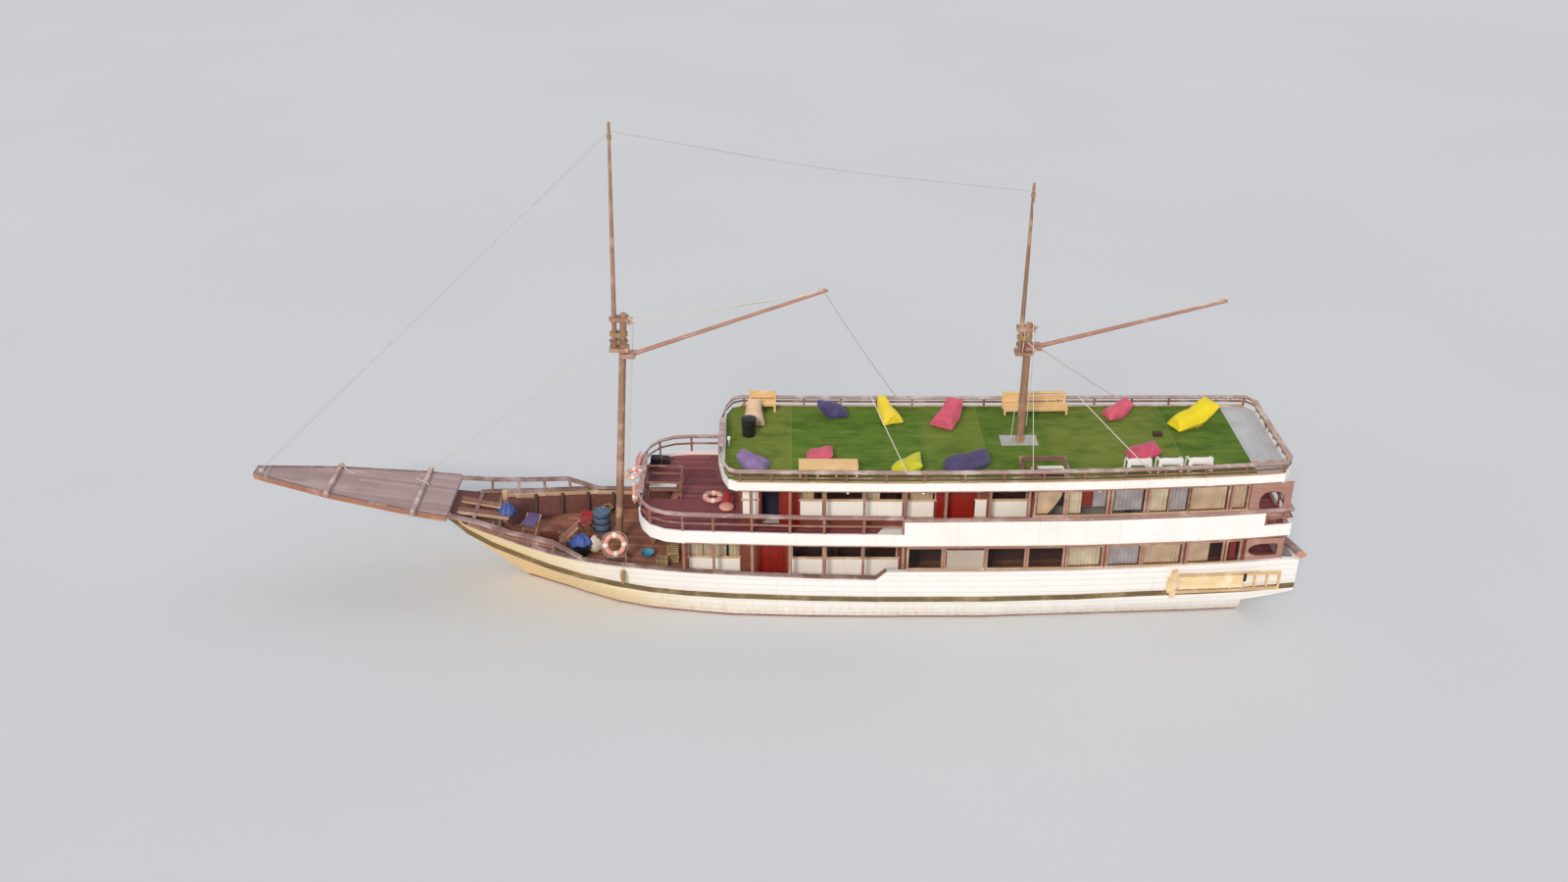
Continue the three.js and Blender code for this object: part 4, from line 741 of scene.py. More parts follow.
# Windows of the house walls: name, wall, openings, sill, head above the sheer, and the frame's width
WINDOW_ROWS = [
    ("lower_inset", lower_wall, [(-5.72, -5.04), (-4.96, -4.2), (-2.54, -1.61), (-1.49, -0.41),
                                 (-0.33, 0.66)], 1.86, 2.50, 0.04),
    ("lower_flush", lower_wall, [(0.98, 1.99), (2.11, 3.29), (3.38, 4.51), (4.63, 5.67), (5.82, 6.86),
                                 (7.04, 8.02), (8.14, 9.3), (9.48, 10.55), (10.7, 11.08)], 1.90, 2.60, 0.055),
    ("upper_inset", upper_wall, [(-4.04, -3.6), (-2.3, -1.64), (-1.52, -0.42), (-0.32, 0.78), (0.94, 1.76),
                                 (3.46, 4.52)], 3.93, 4.42, 0.04),
    ("upper_flush", upper_wall, [(4.74, 5.58), (5.7, 6.87), (7.04, 8.0), (8.15, 9.32), (9.38, 10.51),
                                 (10.66, 11.1)], 3.66, 4.48, 0.055),
]
# The one window with a middle post, and how far a frame laps over its opening
MULLION_AT, LAP = 8.15, 0.012
# Distances out from the wall's outer face
FRAME_BACK, FRAME_FRONT, PANE_BACK, PANE_FRONT, SILL_FRONT = -0.062, 0.018, -0.034, -0.028, 0.045


def window_frames():
    """Frames, sills and panes of the houses' side windows."""
    for row, wall, openings, sill, head, wide in WINDOW_ROWS:
        for name, side in SIDES:
            frames, sills, panes = Shape(), Shape(), Shape()
            for x0, x1 in openings:
                a, b = x0 - wide, x1 + wide
                frames.on_wall(wall, side, a, b, FRAME_BACK, FRAME_FRONT, head - 0.01, head + wide)
                for a, b in ((x0 - wide, x0 + LAP), (x1 - LAP, x1 + wide)):
                    frames.on_wall(wall, side, a, b, FRAME_BACK, FRAME_FRONT, sill - 0.01, head)
                if x0 == MULLION_AT:
                    middle = (x0 + x1) / 2
                    frames.on_wall(wall, side, middle - 0.018, middle + 0.018, -0.045, -0.005, sill, head)
                a, b = x0 - wide - 0.02, x1 + wide + 0.02
                sills.on_wall(wall, side, a, b, -0.02, SILL_FRONT, sill - 0.055, sill + 0.004)
                a, b = x0 + 0.004, x1 - 0.004
                panes.on_wall(wall, side, a, b, PANE_BACK, PANE_FRONT, sill + 0.004, head - 0.004)
            frames.done(f"{row}_window_frames_{name}", frame_wood, "house_paint", bevel=0.004)
            sills.done(f"{row}_sills_{name}", sill_wood, "house_paint", bevel=0.005)
            panes.done(f"{row}_panes_{name}", dark_glass, "house_paint")


# Curtains of each deck: from, to, foot, head, cloth, and the place its foot is drawn to
CURTAIN_ROWS = [
    ("lower", -5.70, -5.30, 1.82, 2.49, "cream", None), ("lower", -5.28, -5.06, 1.82, 2.49, "cream", None),
    ("lower", -4.94, -4.58, 1.82, 2.49, "cream", None), ("lower", -4.50, -4.22, 1.82, 2.49, "cream", None),
    ("lower", 5.86, 6.82, 1.92, 2.58, "cream", None), ("lower", 7.08, 7.98, 1.92, 2.58, "grey", None),
    ("lower", 8.18, 9.26, 1.92, 2.58, "beige", None), ("lower", 9.52, 10.16, 1.92, 2.58, "beige", None),
    ("lower", 10.78, 10.98, 1.92, 2.58, "red", None),
    ("upper", -2.26, -1.90, 3.80, 4.40, "beige", None), ("upper", -0.28, 0.10, 3.80, 4.40, "cream", None),
    ("upper", 4.78, 5.54, 3.68, 4.46, "beige", 4.80), ("upper", 5.74, 6.10, 3.68, 4.46, "cream", None),
    ("upper", 6.12, 6.42, 3.90, 4.46, "red", None), ("upper", 6.44, 6.84, 3.90, 4.46, "grey", None),
    ("upper", 7.10, 7.94, 3.74, 4.46, "grey", None), ("upper", 1.0, 1.70, 3.80, 4.40, "beige", None),
    ("upper", 8.18, 8.70, 3.68, 4.46, "cream", None), ("upper", 8.77, 9.28, 3.68, 4.46, "grey", None),
    ("upper", 9.41, 10.46, 3.68, 4.46, "beige", None), ("upper", 10.68, 11.06, 3.68, 4.46, "beige", None),
]


def curtain(name, wall, side, x0, x1, z0, z1, kind, gather):
    """One hung curtain: pleats that open out downwards; gather draws its foot to one side."""
    back, deep, folds, columns, rows = 0.064, 0.016, max(3.0, (x1 - x0) * 9), 48, 7
    points = []
    for j in range(rows):
        t = j / (rows - 1)
        for i in range(columns):
            s = i / (columns - 1)
            x = x0 + (x1 - x0) * s
            if gather is not None:
                x = x + (gather - x) * 0.55 * (1 - t) ** 1.6
            swing = math.sin(2 * math.pi * folds * s + 0.5 * math.sin(3 * s + 2 * t))
            wave = deep * (0.6 + 0.4 * (1 - t)) * swing
            points.append((x, side * (wall(x) - back + wave), rise(x) + z0 + (z1 - z0) * t))
    rings = [points[j * columns:(j + 1) * columns] for j in range(rows)]
    shape = Shape().loft(rings, closed=False, caps=False)
    piece = shape.done(name, CURTAINS[kind], "house_paint", angle=180)


def hang_curtains():
    """The same curtains on both sides of both decks."""
    for name, side in SIDES:
        for i, (deck, *row) in enumerate(CURTAIN_ROWS):
            wall = upper_wall if deck == "upper" else lower_wall
            curtain(f"curtain_{deck}_{i:02d}_{name}", wall, side, *row)


# White boards on the inset walls: deck, wall, and the ends, foot and head of each
WALL_PANELS = [
    ("lower", lower_wall, [(-5.74, -5.01, 1.12, 1.84), (-4.98, -4.16, 1.12, 1.84), (-2.56, -1.59, 1.12, 1.84),
                           (-1.50, -0.38, 1.12, 1.84), (-0.35, 0.74, 1.12, 1.84)]),
    ("upper", upper_wall, [(-4.05, -3.84, 3.33, 4.50), (-3.78, -3.57, 3.33, 4.50), (-2.31, -1.64, 3.33, 3.91),
                           (-1.52, -0.40, 3.33, 3.91), (-0.34, 0.79, 3.33, 3.91), (0.94, 1.74, 3.33, 3.91),
                           (2.99, 3.34, 3.33, 3.91), (3.46, 4.57, 3.33, 3.91)]),
]


def wall_panels():
    """Boards on the inset walls, each between two trims."""
    for name, side in SIDES:
        for deck, wall, rows in WALL_PANELS:
            boards, trims = Shape(), Shape()
            for x0, x1, z0, z1 in rows:
                boards.on_wall(wall, side, x0, x1, 0.002, 0.024, z0, z1)
                for z in (z0 - 0.04, z1 + 0.004):
                    trims.on_wall(wall, side, x0 - 0.03, x1 + 0.03, HAIR, 0.03, z, z + 0.034)
            boards.done(f"{deck}_wall_panels_{name}", panel_coat, "white_paint", bevel=0.006)
            trims.done(f"{deck}_panel_trims_{name}", sill_wood, "house_paint", bevel=0.004)


# Windows of the front walls: deck, face, where each starts, width, sill, head
FRONT_WINDOWS = [
    ("lower", -5.9, (-1.2, 0.3), 0.9, 2.0, 2.6),
    ("upper", -4.15, (-1.5, -0.6, 0.3), 0.8, 3.85, 4.5),
]


def front_windows():
    """Frames and panes of the front walls."""
    for deck, x, starts, wide, sill, head in FRONT_WINDOWS:
        frames, panes = Shape(), Shape()
        for y in starts:
            for z0, z1 in ((sill - 0.05, sill + 0.004), (head - 0.004, head + 0.05)):
                frames.block(x - 0.03, x + 0.062, y - 0.05, y + wide + 0.05, z0, z1)
            for y0, y1 in ((y - 0.05, y + LAP), (y + wide - LAP, y + wide + 0.05)):
                frames.block(x - 0.022, x + 0.062, y0, y1, sill, head)
            panes.block(x + 0.026, x + 0.032, y + 0.004, y + wide - 0.004, sill + 0.004, head - 0.004)
        frames.done(f"{deck}_front_window_frames", frame_wood, "house_paint", bevel=0.005)
        panes.done(f"{deck}_front_panes", dark_glass, "house_paint")


def door_panels():
    """Three raised panels and a handle on the outer face of each leaf, turning with it."""
    for name, side in SIDES:
        for door in DOORS:
            node = f"{door}_{name}"
            low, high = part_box(node)
            face = high.y if side > 0 else low.y
            x0, x1 = low.x + 0.07, high.x - 0.07
            panels, grip = Shape(), x1 + 0.02
            tall = (high.z - low.z - 0.14) / 3
            for i in range(3):
                z0 = low.z + 0.10 + i * tall
                z1 = z0 + tall - 0.08
                for inset, out in ((0.0, 0.008), (0.05, 0.014)):
                    y0, y1 = sorted((face - side * 0.003, face + side * out))
                    panels.block(x0 + inset, x1 - inset, y0, y1, z0 + inset, z1 - inset)
            panels.done(f"{node}_panels", red_wood, "red_door", f"{node}_leaf", bevel=0.004)
            middle = (low.z + high.z) / 2 - 0.05
            knob = Shape().tube([(grip, face + side * out, middle + up) for out, up in
                                 ((0, -0.07), (0.03, -0.07), (0.03, 0.07), (0, 0.07))], 0.008)
            knob.done(f"{node}_handle", bronze, "bronze", f"{node}_leaf")


# Doorways: wall, from, to, foot, head, how far the frame stands out, and the width of its after post
DOORWAYS = [
    (lower_wall, -3.5, -2.8, 1.12, 2.64, 0.02, 0.07),
    (upper_wall, 2.18, 2.96, 3.04, 4.48, 0.02, 0.07),
    (upper_wall, -3.48, -2.95, 3.04, 4.43, 0.003, 0.03),
]


def door_surrounds():
    """Dark red frames round the doorways, and the red board before the cabin's."""
    for name, side in SIDES:
        shape = Shape()
        for wall, x0, x1, foot, head, out, after in DOORWAYS:
            for a, b in ((x0 - 0.07, x0 - 0.004), (x1 + 0.004, x1 + after)):
                shape.on_wall(wall, side, a, b, HAIR, out, foot, head + 0.05)
            shape.on_wall(wall, side, x0 - 0.07, x1 + 0.03, HAIR, out, head + 0.004, head + 0.055)
        shape.on_wall(upper_wall, side, 1.80, 2.04, HAIR, 0.02, 3.04, 4.48)
        shape.done(f"door_surrounds_{name}", red_wood, "red_door", bevel=0.004)


def deck_coverings():
    """Maroon boards of the upper deck and the galleries, and the pale sheet aft of the turf."""
    low, high = level(UPPER_FLOOR) + HAIR, level(UPPER_FLOOR) + 0.008
    below, above = deck_z + HAIR, deck_z + 0.008
    edge, inner, fore, aft = upper_half - BAND, INSET + 0.004, -7.1, -6.08
    boards = Shape().full(-7.235, fore, edge, low, high)
    boards.bar(fore, aft, edge * -1, -0.42, low, high).bar(fore, aft, 0.56, edge, low, high)
    boards.full(aft, -4.16, edge, low, high)
    boards.done("upper_foredeck_boards", maroon_planks, "deck_plank", smooth=False)
    for name, side in SIDES:
        walk = Shape().bar(-4.16, UPPER_WIDE - 0.01, side * inner, edge * side, low, high)
        walk.done(f"upper_gallery_boards_{name}", maroon_planks, "deck_plank")
    boards = Shape().full(HOUSE_AFT + 0.07, 12.48, upper_half - 0.135, low, high)
    boards.done("upper_stern_boards", maroon_planks, "deck_plank")
    boards = Shape().full(HOUSE_AFT + 0.07, 12.82, half_top - 0.17, below, above)
    boards.done("lower_stern_boards", maroon_planks, "deck_plank")
    sheet = Shape().full(11.305, 12.31, sun_half - 0.11, level(SUN_FLOOR) + HAIR, level(SUN_FLOOR) + 0.01)
    sheet.done("aft_deck_sheet", grey_coat, "white_paint")
    boards = Shape().both(-7.2, 0.86, inner, half_top - 0.175, below, above)
    boards.done("lower_gallery_boards", maroon_planks, "deck_plank")


# Mouldings of the edge bands: from, to, half width, foot and head
MOULDINGS = ((-5.8, 12.5, upper_half, 2.69, 2.725), (-4.2, 12.05, sun_half, 4.53, 4.56))


def bands():
    """Thin mouldings along the white edge bands."""
    for name, side in SIDES:
        shape = Shape()
        for x0, x1, half, z0, z1 in MOULDINGS:
            shape.bar(x0, x1, half * side, (half + 0.014) * side, level(z0), level(z1))
        shape.done(f"band_mouldings_{name}", frame_wood, "rail_olive", bevel=0.004)


# Wide flat caps of the rails: name, from, to, half width, rail's top, cap's width, wood, and its closed ends
RAIL_CAPS = [
    ("upper_front_cap", -7.30, 0.80, upper_half, UPPER_RAIL, 0.15, upper_cap_wood, (1,)),
    ("upper_aft_cap", 0.80, 12.55, upper_half, BULWARK_TOP + 0.05, 0.13, upper_cap_wood, (-1,)),
    ("sun_cap", -4.80, 12.38, sun_half, SUN_RAIL, 0.155, sun_cap_wood, (1, -1)),
]
CAP_BOARD, CAP_JOINT = 3.05, 0.006


def rail_caps():
    """Weathered flat boards on the rails, with a joint every few metres."""
    for name, x0, x1, half, top, wide, wood_kind, ends in RAIL_CAPS:
        shape = Shape()
        low, high = level(top) + HAIR, level(top) + 0.027
        for _, side in SIDES:
            start = x0
            while start < x1 - 0.05:
                end = min(start + CAP_BOARD, x1)
                shape.bar(start, end - CAP_JOINT, (half - wide) * side, (half + 0.02) * side, low, high)
                start = end
        for inward in ends:
            x = x0 if inward > 0 else x1
            a, b = sorted((x - inward * 0.018, x + inward * wide))
            shape.full(a, b, half(x) + 0.01, low + HAIR, high + HAIR)
        shape.done(name, wood_kind, "brown_wood", bevel=0.006)


def sills_and_ramps():
    """Sill below the sun deck's rail, and caps of the ramps where the bulwark rises."""
    floor = level(SUN_FLOOR)
    sill = Shape().both(-4.2, 12.1, sun_half - 0.10, sun_half + 0.008, floor + HAIR, floor + 0.03)
    sill.done("sun_rail_sill", sill_wood, "brown_wood", bevel=0.006)
    ramp = Shape().both(-0.018, 0.32, half_top - 0.175, half_top + 0.025, top_z + HAIR, top_z + 0.045)
    ramp.done("bulwark_ramp_cap", cap_wood, "brown_wood", bevel=0.006)


# Dark walls inside the houses, the lobby's in painted shade: spacing of the cross walls, ends of the lobby,
# and thickness of its walls
CROSS_WALLS, LOBBY_FORE, LOBBY_AFT, THIN = 2.4, -3.56, -2.86, 0.02


def cabin_insides():
    """Dark lengthwise and cross partitions in both houses, and the lobby behind the open doorway in
    near-black navy painted shade.
    """
    shape, lobby, wall = Shape(), Shape(), INSET - 0.064
    for _, side in SIDES:
        for x0, floor, head in ((-5.80, deck_z + 0.01, level(2.76)), (-4.05, level(2.99), level(4.60))):
            shape.bar(x0, 11.10, side * 0.78, side * 0.81, floor, head)
            x = x0 + 2.2
            while x < 10.10:
                shape.bar(x, x + 0.03, side * 0.82, side * 1.87, floor, head)
                x += CROSS_WALLS
        floor, head, deep = level(2.99), level(4.55), 1.40
        lobby.bar(LOBBY_FORE, LOBBY_AFT, side * deep, side * (deep + THIN), floor, head)
        for x in (LOBBY_FORE, LOBBY_AFT - THIN):
            lobby.bar(x, x + THIN, side * (deep + THIN), side * wall, floor, head)
    shape.done("cabin_partitions", dark_wood, "house_paint", bevel=0.004)
    # The lobby's walls carry painted shade: near-black navy
    lobby.done("doorway_lobby", lobby_painted_shade, "house_paint", bevel=0.003)


def awning_panels():
    """Grey boards that stand proud of one window on each side, held off by brackets."""
    for name, side in SIDES:
        board, arms = Shape(), Shape()
        board.on_wall(lower_wall, side, 2.14, 3.26, 0.052, 0.074, 1.94, 2.58)
        for z in (1.94, 2.545):
            board.on_wall(lower_wall, side, 2.12, 3.28, 0.052, 0.086, z, z + 0.035)
        for x in (2.3, 3.06):
            for z in (2.52, 1.96):
                arms.on_wall(lower_wall, side, x, x + 0.04, 0.012, 0.052, z, z + 0.04)
        board.done(f"awning_panel_{name}", awning_sheet, "white_paint", bevel=0.004)
        arms.done(f"awning_brackets_{name}", dark_steel, "grey_steel", bevel=0.003)


# Crossbeams of the bow platform: place and half length
CROSSBEAMS = ((-17.0, 0.97), (-14.27, 1.45))


def platform_trim():
    """Edge boards and caps of the bow platform, and the boards on its crossbeams."""
    top, fore, aft = platform_z, -19.4, -13.27
    fascia = Shape().both(fore, aft, platform_half, platform_half + 0.035, top - 0.17, top + 0.006)
    fascia.done("platform_edge_boards", edge_wood, "platform_wood", bevel=0.006)
    caps = Shape().both(fore, aft, platform_half - 0.05, platform_half + 0.04, top + HAIR, top + 0.020)
    caps.block(fore - 0.025, fore, -0.28, 0.28, top(fore) - 0.13, top(fore) + 0.02)
    caps.done("platform_caps", cap_wood, "platform_wood", bevel=0.005)
    boards = Shape()
    for _, side in SIDES:
        for x, beam_half in CROSSBEAMS:
            y0, y1 = sorted((side * (beam_half + 0.004), side * 0.02))
            boards.block(x - 0.069, x + 0.069, y0, y1, top(x) + 0.002, top(x) + 0.104)
    boards.done("crossbeam_boards", sun_cap_wood, "platform_wood", bevel=0.008)


def platform_lashings():
    """Turns of rope that hold the crossbeams, loops round the tip, and loose ends on the planks."""
    lash, top = Shape(), platform_z
    for _, side in SIDES:
        for x, beam_half in CROSSBEAMS:
            middle = (platform_half(x) + 0.05 + beam_half) / 2 + 0.01
            lash.coil((x, side * middle, top(x) + 0.035), 0.074, 0.008, 3, along="y")
    for x in (-19.02, -18.96):
        half, z = platform_half(x) + 0.045, top(x)
        lash.tube([(x, -half, z + 0.03), (x, -half, z - 0.18), (x, half, z - 0.18), (x, half, z + 0.03),
                   (x - 0.06, 0.05, z + 0.05)], 0.012, 6, closed=True)
    for x0, y0, x1, y1 in ((-16.98, 0.78, -16.49, 0.54), (-14.59, 0.67, -14.16, 0.35)):
        path = []
        for k in range(13):
            t = k / 12
            x, y = x0 + (x1 - x0) * t + 0.03 * math.sin(9 * t), y0 + (y1 - y0) * t + 0.04 * math.sin(6 * t)
            over_beam = any(abs(x - beam) < 0.12 for beam, _ in CROSSBEAMS)
            path.append((x, y, top(x) + (0.122 if over_beam else 0.022)))
        lash.tube(path, 0.018, 6)
    lash.coil((-19.23, 0, top(-19.23) + 0.045), 0.062, 0.012, 4)
    lash.done("platform_lashings", white_rope, "stay_wire", angle=80)


SAMSON_X = -11.65


def bulwark_ribs():
    """Ribs inside the foredeck's bulwark, and the clamp they carry."""
    for name, side in SIDES:
        ribs = Shape()
        for x in (-11.0, -10.18, -9.36, -8.54, -7.72):
            inner, low = half_top(x) - 0.165, half_rub(x) - 0.22
            rings = []
            for a in (x, x + 0.1):
                foot, head = deck_z(a) + 0.16, top_z(a) - 0.02
                rings.append([(a, side * (low - 0.10), foot), (a, side * (inner - 0.09), head),
                              (a, side * (inner + 0.02), head), (a, side * (low + 0.02), foot)])
            ribs.loft(rings)
        ribs.done(f"bulwark_ribs_{name}", dark_wood, "brown_wood", bevel=0.01)
        clamp, faces = Shape(), ((half_top - 0.25) * side, (half_top - 0.165) * side)
        clamp.bar(-11.9, -7.35, *faces, top_z - 0.12, top_z - 0.01)
        clamp.done(f"bulwark_clamp_{name}", sill_wood if side > 0 else cap_wood, "brown_wood", bevel=0.008)


def bow_rail_boards():
    """Two boards that close each bay of the open rail on the port side."""
    boards, top = Shape(), open_rail_z - 0.03
    faces = (open_rail_half - 0.115) * -1, (open_rail_half - 0.09) * -1
    for x0, x1 in ((-12.62, -11.54), (-11.46, -10.74), (-10.66, -9.94)):
        for low, high in ((0.05, 0.14), (0.16, 0.25)):
            boards.bar(x0, x1, *faces, top - high, top - low)
    boards.done("bow_rail_boards", rail_wood, "brown_wood", bevel=0.006)


# Planks stowed from the bow to the samson post: place across at either end, width, and whether it is dark
STOWED = ((0.40, 0.26, 0.20, True), (0.16, 0.155, 0.07, False), (-0.30, -0.22, 0.20, True),
          (-0.52, -0.40, 0.14, False))


def stowed_spars():
    """Planks and dark spars stowed between the bow and the samson post."""
    pale, dark = Shape(), Shape()
    for fore_y, aft_y, wide, is_dark in STOWED:
        shape = dark if is_dark else pale
        shape.beam((-13.28, fore_y, 2.66), (SAMSON_X + 0.12, aft_y, 2.322), wide, 0.04)
    pale.done("stowed_boards", sill_wood, "brown_wood", bevel=0.006)
    dark.done("stowed_planks", rail_wood, "brown_wood", bevel=0.006)
    spars = Shape()
    for a, b in (((-12.6, -0.62, 2.52), (-11.3, -0.60, 1.48)), ((-12.5, -0.78, 2.48), (-11.2, -0.72, 1.47))):
        spars.tube([a, b], [0.05, 0.04], 10)
    spars.done("dark_spars", dark_wood, "brown_wood", angle=60)


def bow_timbers():
    """Beam across the bow, the samson post's pointed cap, and a pale panel inside the bulwark."""
    beam = Shape().block(-12.62, -12.5, -0.86, 0.86, top_z(-12.5) - 0.04, top_z(-12.5) + 0.1)
    beam.done("bow_beam", cap_wood, "brown_wood", bevel=0.012)
    cap = Shape().block(SAMSON_X - 0.075, SAMSON_X + 0.075, -0.075, 0.075, 2.84, 3.078)
    cap.loft([[(SAMSON_X + u * r, w * r, z) for u, w in ((-1, -1), (1, -1), (1, 1), (-1, 1))]
              for r, z in ((0.09, 3.082), (0.09, 3.11), (0.03, 3.15))])
    cap.done("samson_cap", sill_wood, "brown_wood", bevel=0.012)
    panel = Shape().bar(-11.58, -10.98, half_top - 0.268, half_top - 0.252, top_z - 0.42, top_z - 0.10)
    panel.done("inner_panel", sill_wood, "brown_wood", bevel=0.006)


def rope_coil():
    """Rope laid down in turns, each a little askew on the last."""
    coil, draw = Shape(), random.Random(21)
    for k in range(7):
        x, y = -8.82 + 0.03 * k, 1.90 - 0.012 * k
        tilt = (draw.uniform(-0.16, 0.16), draw.uniform(-0.16, 0.16), 1)
        coil.torus((x, y, deck_z(x) + 0.03 + 0.028 * k), 0.22 - 0.012 * k, 0.021, tilt, 32, 6)
    coil.done("rope_coil", tan_rope, "stay_wire", angle=80)


# Ring buoys: name, centre, the way the ring faces, radius and thickness
RING_FLOOR = level(UPPER_FLOOR)(-5) + 0.01
RINGS = [
    ("ring_starboard_front", (-7.44, 0.98, 3.60), (-1, 0.1, 0.06), 0.225, 0.095),
    ("ring_port_front", (-7.44, -0.62, 3.42), (-1, -0.08, 0.06), 0.225, 0.095),
    ("ring_middle_front", (-7.52, -0.10, 3.80), (-0.30, -0.12, 0.95), 0.22, 0.068),
    ("ring_on_upper_deck", (-5.02, -0.40, RING_FLOOR + 0.082), (0, 0, 1), 0.235, 0.078),
    ("ring_on_stand", (-8.09, -1.32, 1.93), (0.06, -0.88, 0.48), 0.29, 0.09),
]


def life_ring(name, centre, normal, radius, thick):
    """Ring buoy with four wide bands and a grab line held at each band."""
    axis, u, v = around_axis(normal)
    ring = Shape().torus(centre, radius, thick, axis, 48, 16)
    straps, path = Shape(), []
    for a in circle(4, math.pi / 4):
        straps.torus(centre, radius, thick + 0.006, axis, 6, 16, a - 0.17, a + 0.17)
    for a in circle(64, math.pi / 4):
        swell = abs(math.sin(2 * (a - math.pi / 4)))
        reach = radius + thick + 0.012 + 0.035 * swell
        out = u * (reach * math.cos(a)) + v * (reach * math.sin(a))
        path.append(Vector(centre) + out + axis * (0.02 * swell))
    ring.done(name, ring_plastic, "white_plastic", angle=80)
    straps.done(f"{name}_bands", panel_coat, "white_plastic", angle=60)
    Shape().tube(path, 0.009, 6, closed=True).done(f"{name}_line", white_rope, "stay_wire", angle=80)


def life_rings():
    """The ring buoys, and the stand under one of them."""
    for row in RINGS:
        life_ring(*row)
    stand = Shape()
    for x in (-8.42, -7.76):
        foot = deck_z(x) + 0.012
        stand.beam((x, -1.42, foot), (x, -1.16, 2.12), 0.045, 0.045, up=(0, 1, 0))
        stand.beam((x, -0.82, foot), (x, -1.14, 2.10), 0.04, 0.04, up=(0, 1, 0))
    for z, y in ((1.62, -1.285), (2.09, -1.165)):
        stand.block(-8.45, -7.73, y - 0.02, y + 0.02, z - 0.03, z + 0.03)
    stand.block(-8.42, -7.76, -1.32, -0.9, 1.45, 1.48)
    stand.done("ring_stand", post_wood, "brown_wood", bevel=0.006)


def on_foredeck(x):
    """Height at which a loose piece stands on the foredeck."""
    return deck_z(x) + 0.012


def deck_chair(name, x, y, turn, seat_material, wood_material, lean, high, wide):
    """Folding chair: crossed legs, slats on the seat and the back."""
    legs, slats = Shape(), Shape()
    base = Matrix.Translation((x, y, on_foredeck(x))) @ Matrix.Rotation(math.radians(turn), 4, "Z")

    def place(*p):
        return tuple(base @ Vector(p))

    for s in (-wide / 2, wide / 2):
        for a, b in (((-0.26, s, 0.0), (0.24, s, 0.46)), ((0.26, s * 0.9, 0.0), (-0.22, s * 0.9, 0.46)),
                     ((0.22, s, 0.42), (0.22 + lean, s, high))):
            legs.beam(place(*a), place(*b), 0.03, 0.04)
    half = wide / 2 + 0.01
    for k in range(6):
        u = -0.22 + k * 0.085
        slats.beam(place(u, -half, 0.47), place(u, half, 0.47), 0.06, 0.016)
    for k in range(4):
        t = 0.25 + k * 0.22
        u, z = 0.22 + lean * t, 0.42 + (high - 0.42) * t
        slats.beam(place(u, -half, z), place(u, half, z), 0.016, 0.07)
    legs.done(f"{name}_frame", wood_material, "pale_wood", bevel=0.004)
    slats.done(f"{name}_slats", seat_material, "pale_wood", bevel=0.004)


def deck_table():
    """Low slatted table on crossed legs."""
    z = on_foredeck(-10.3)
    table, legs = Shape(), Shape()
    for k in range(4):
        table.block(-10.68, -9.94, -0.36 + k * 0.105, -0.262 + k * 0.105, z + 0.455, z + 0.48)
    table.block(-10.60, -10.02, -0.34, -0.32, z + 0.06, z + 0.42)
    table.done("deck_table_top", house_wood, "brown_wood", bevel=0.004)
    for x in (-10.64, -9.98):
        for y0, y1 in ((-0.36, 0.02), (0.02, -0.36)):
            legs.beam((x, y0, z), (x, y1, z + 0.455), 0.035, 0.045)
    legs.block(-10.64, -9.98, -0.19, -0.15, z + 0.22, z + 0.26)
    legs.done("deck_table_legs", sill_wood, "brown_wood", bevel=0.004)


def deck_lounge():
    """Low reclining seat of boards."""
    z = on_foredeck(-9.7)
    lounge, boards = Shape(), Shape()
    for y in (-0.62, -0.14):
        for x0, z0, x1, z1, deep in ((-9.90, 0.22, -9.32, 0.80, 0.05), (-9.95, 0.26, -9.35, 0.20, 0.05),
                                     (-9.86, 0, -9.62, 0.46, 0.04), (-9.32, 0, -9.68, 0.40, 0.04)):
            lounge.beam((x0, y, z + z0), (x1, y, z + z1), 0.04, deep)
    for k in range(8):
        rise_by = 0.58 * (0.1 + k * 0.11)
        x, top = -9.90 + rise_by, z + 0.245 + rise_by
        boards.beam((x, -0.65, top), (x, -0.11, top), 0.05, 0.018, up=(-0.7, 0, 0.7))
    for k in range(5):
        x, top = -9.93 + k * 0.11, z + 0.262 - k * 0.011
        boards.block(x, x + 0.085, -0.65, -0.11, top, top + 0.018)
    lounge.done("deck_lounge_frame", sill_wood, "brown_wood", bevel=0.004)
    boards.done("deck_lounge_boards", gaff_wood, "brown_wood", bevel=0.004)


def crate(name, x, y, z, wide, tall):
    """Stacking crate with slotted sides and a rim."""
    deep, thin = wide * 0.8, 0.014
    shape = Shape().block(x - wide / 2, x + wide / 2, y - deep / 2, y + deep / 2, z, z + 0.02)
    for s in (-1, 1):
        for k in range(4):
            zc = z + 0.03 + k * (tall - 0.05) / 3
            edge = sorted((y + s * deep / 2, y + s * (deep / 2 - thin)))
            shape.block(x - wide / 2, x + wide / 2, *edge, zc, zc + 0.032)
            edge = sorted((x + s * wide / 2, x + s * (wide / 2 - thin)))
            shape.block(*edge, y - deep / 2, y + deep / 2, zc, zc + 0.032)
        for r in (-1, 1):
            cx, cy = x + s * (wide / 2 - 0.012), y + r * (deep / 2 - 0.012)
            shape.block(cx - 0.018, cx + 0.018, cy - 0.018, cy + 0.018, z, z + tall)
    shape.done(name, crate_plastic, "white_plastic", bevel=0.003)


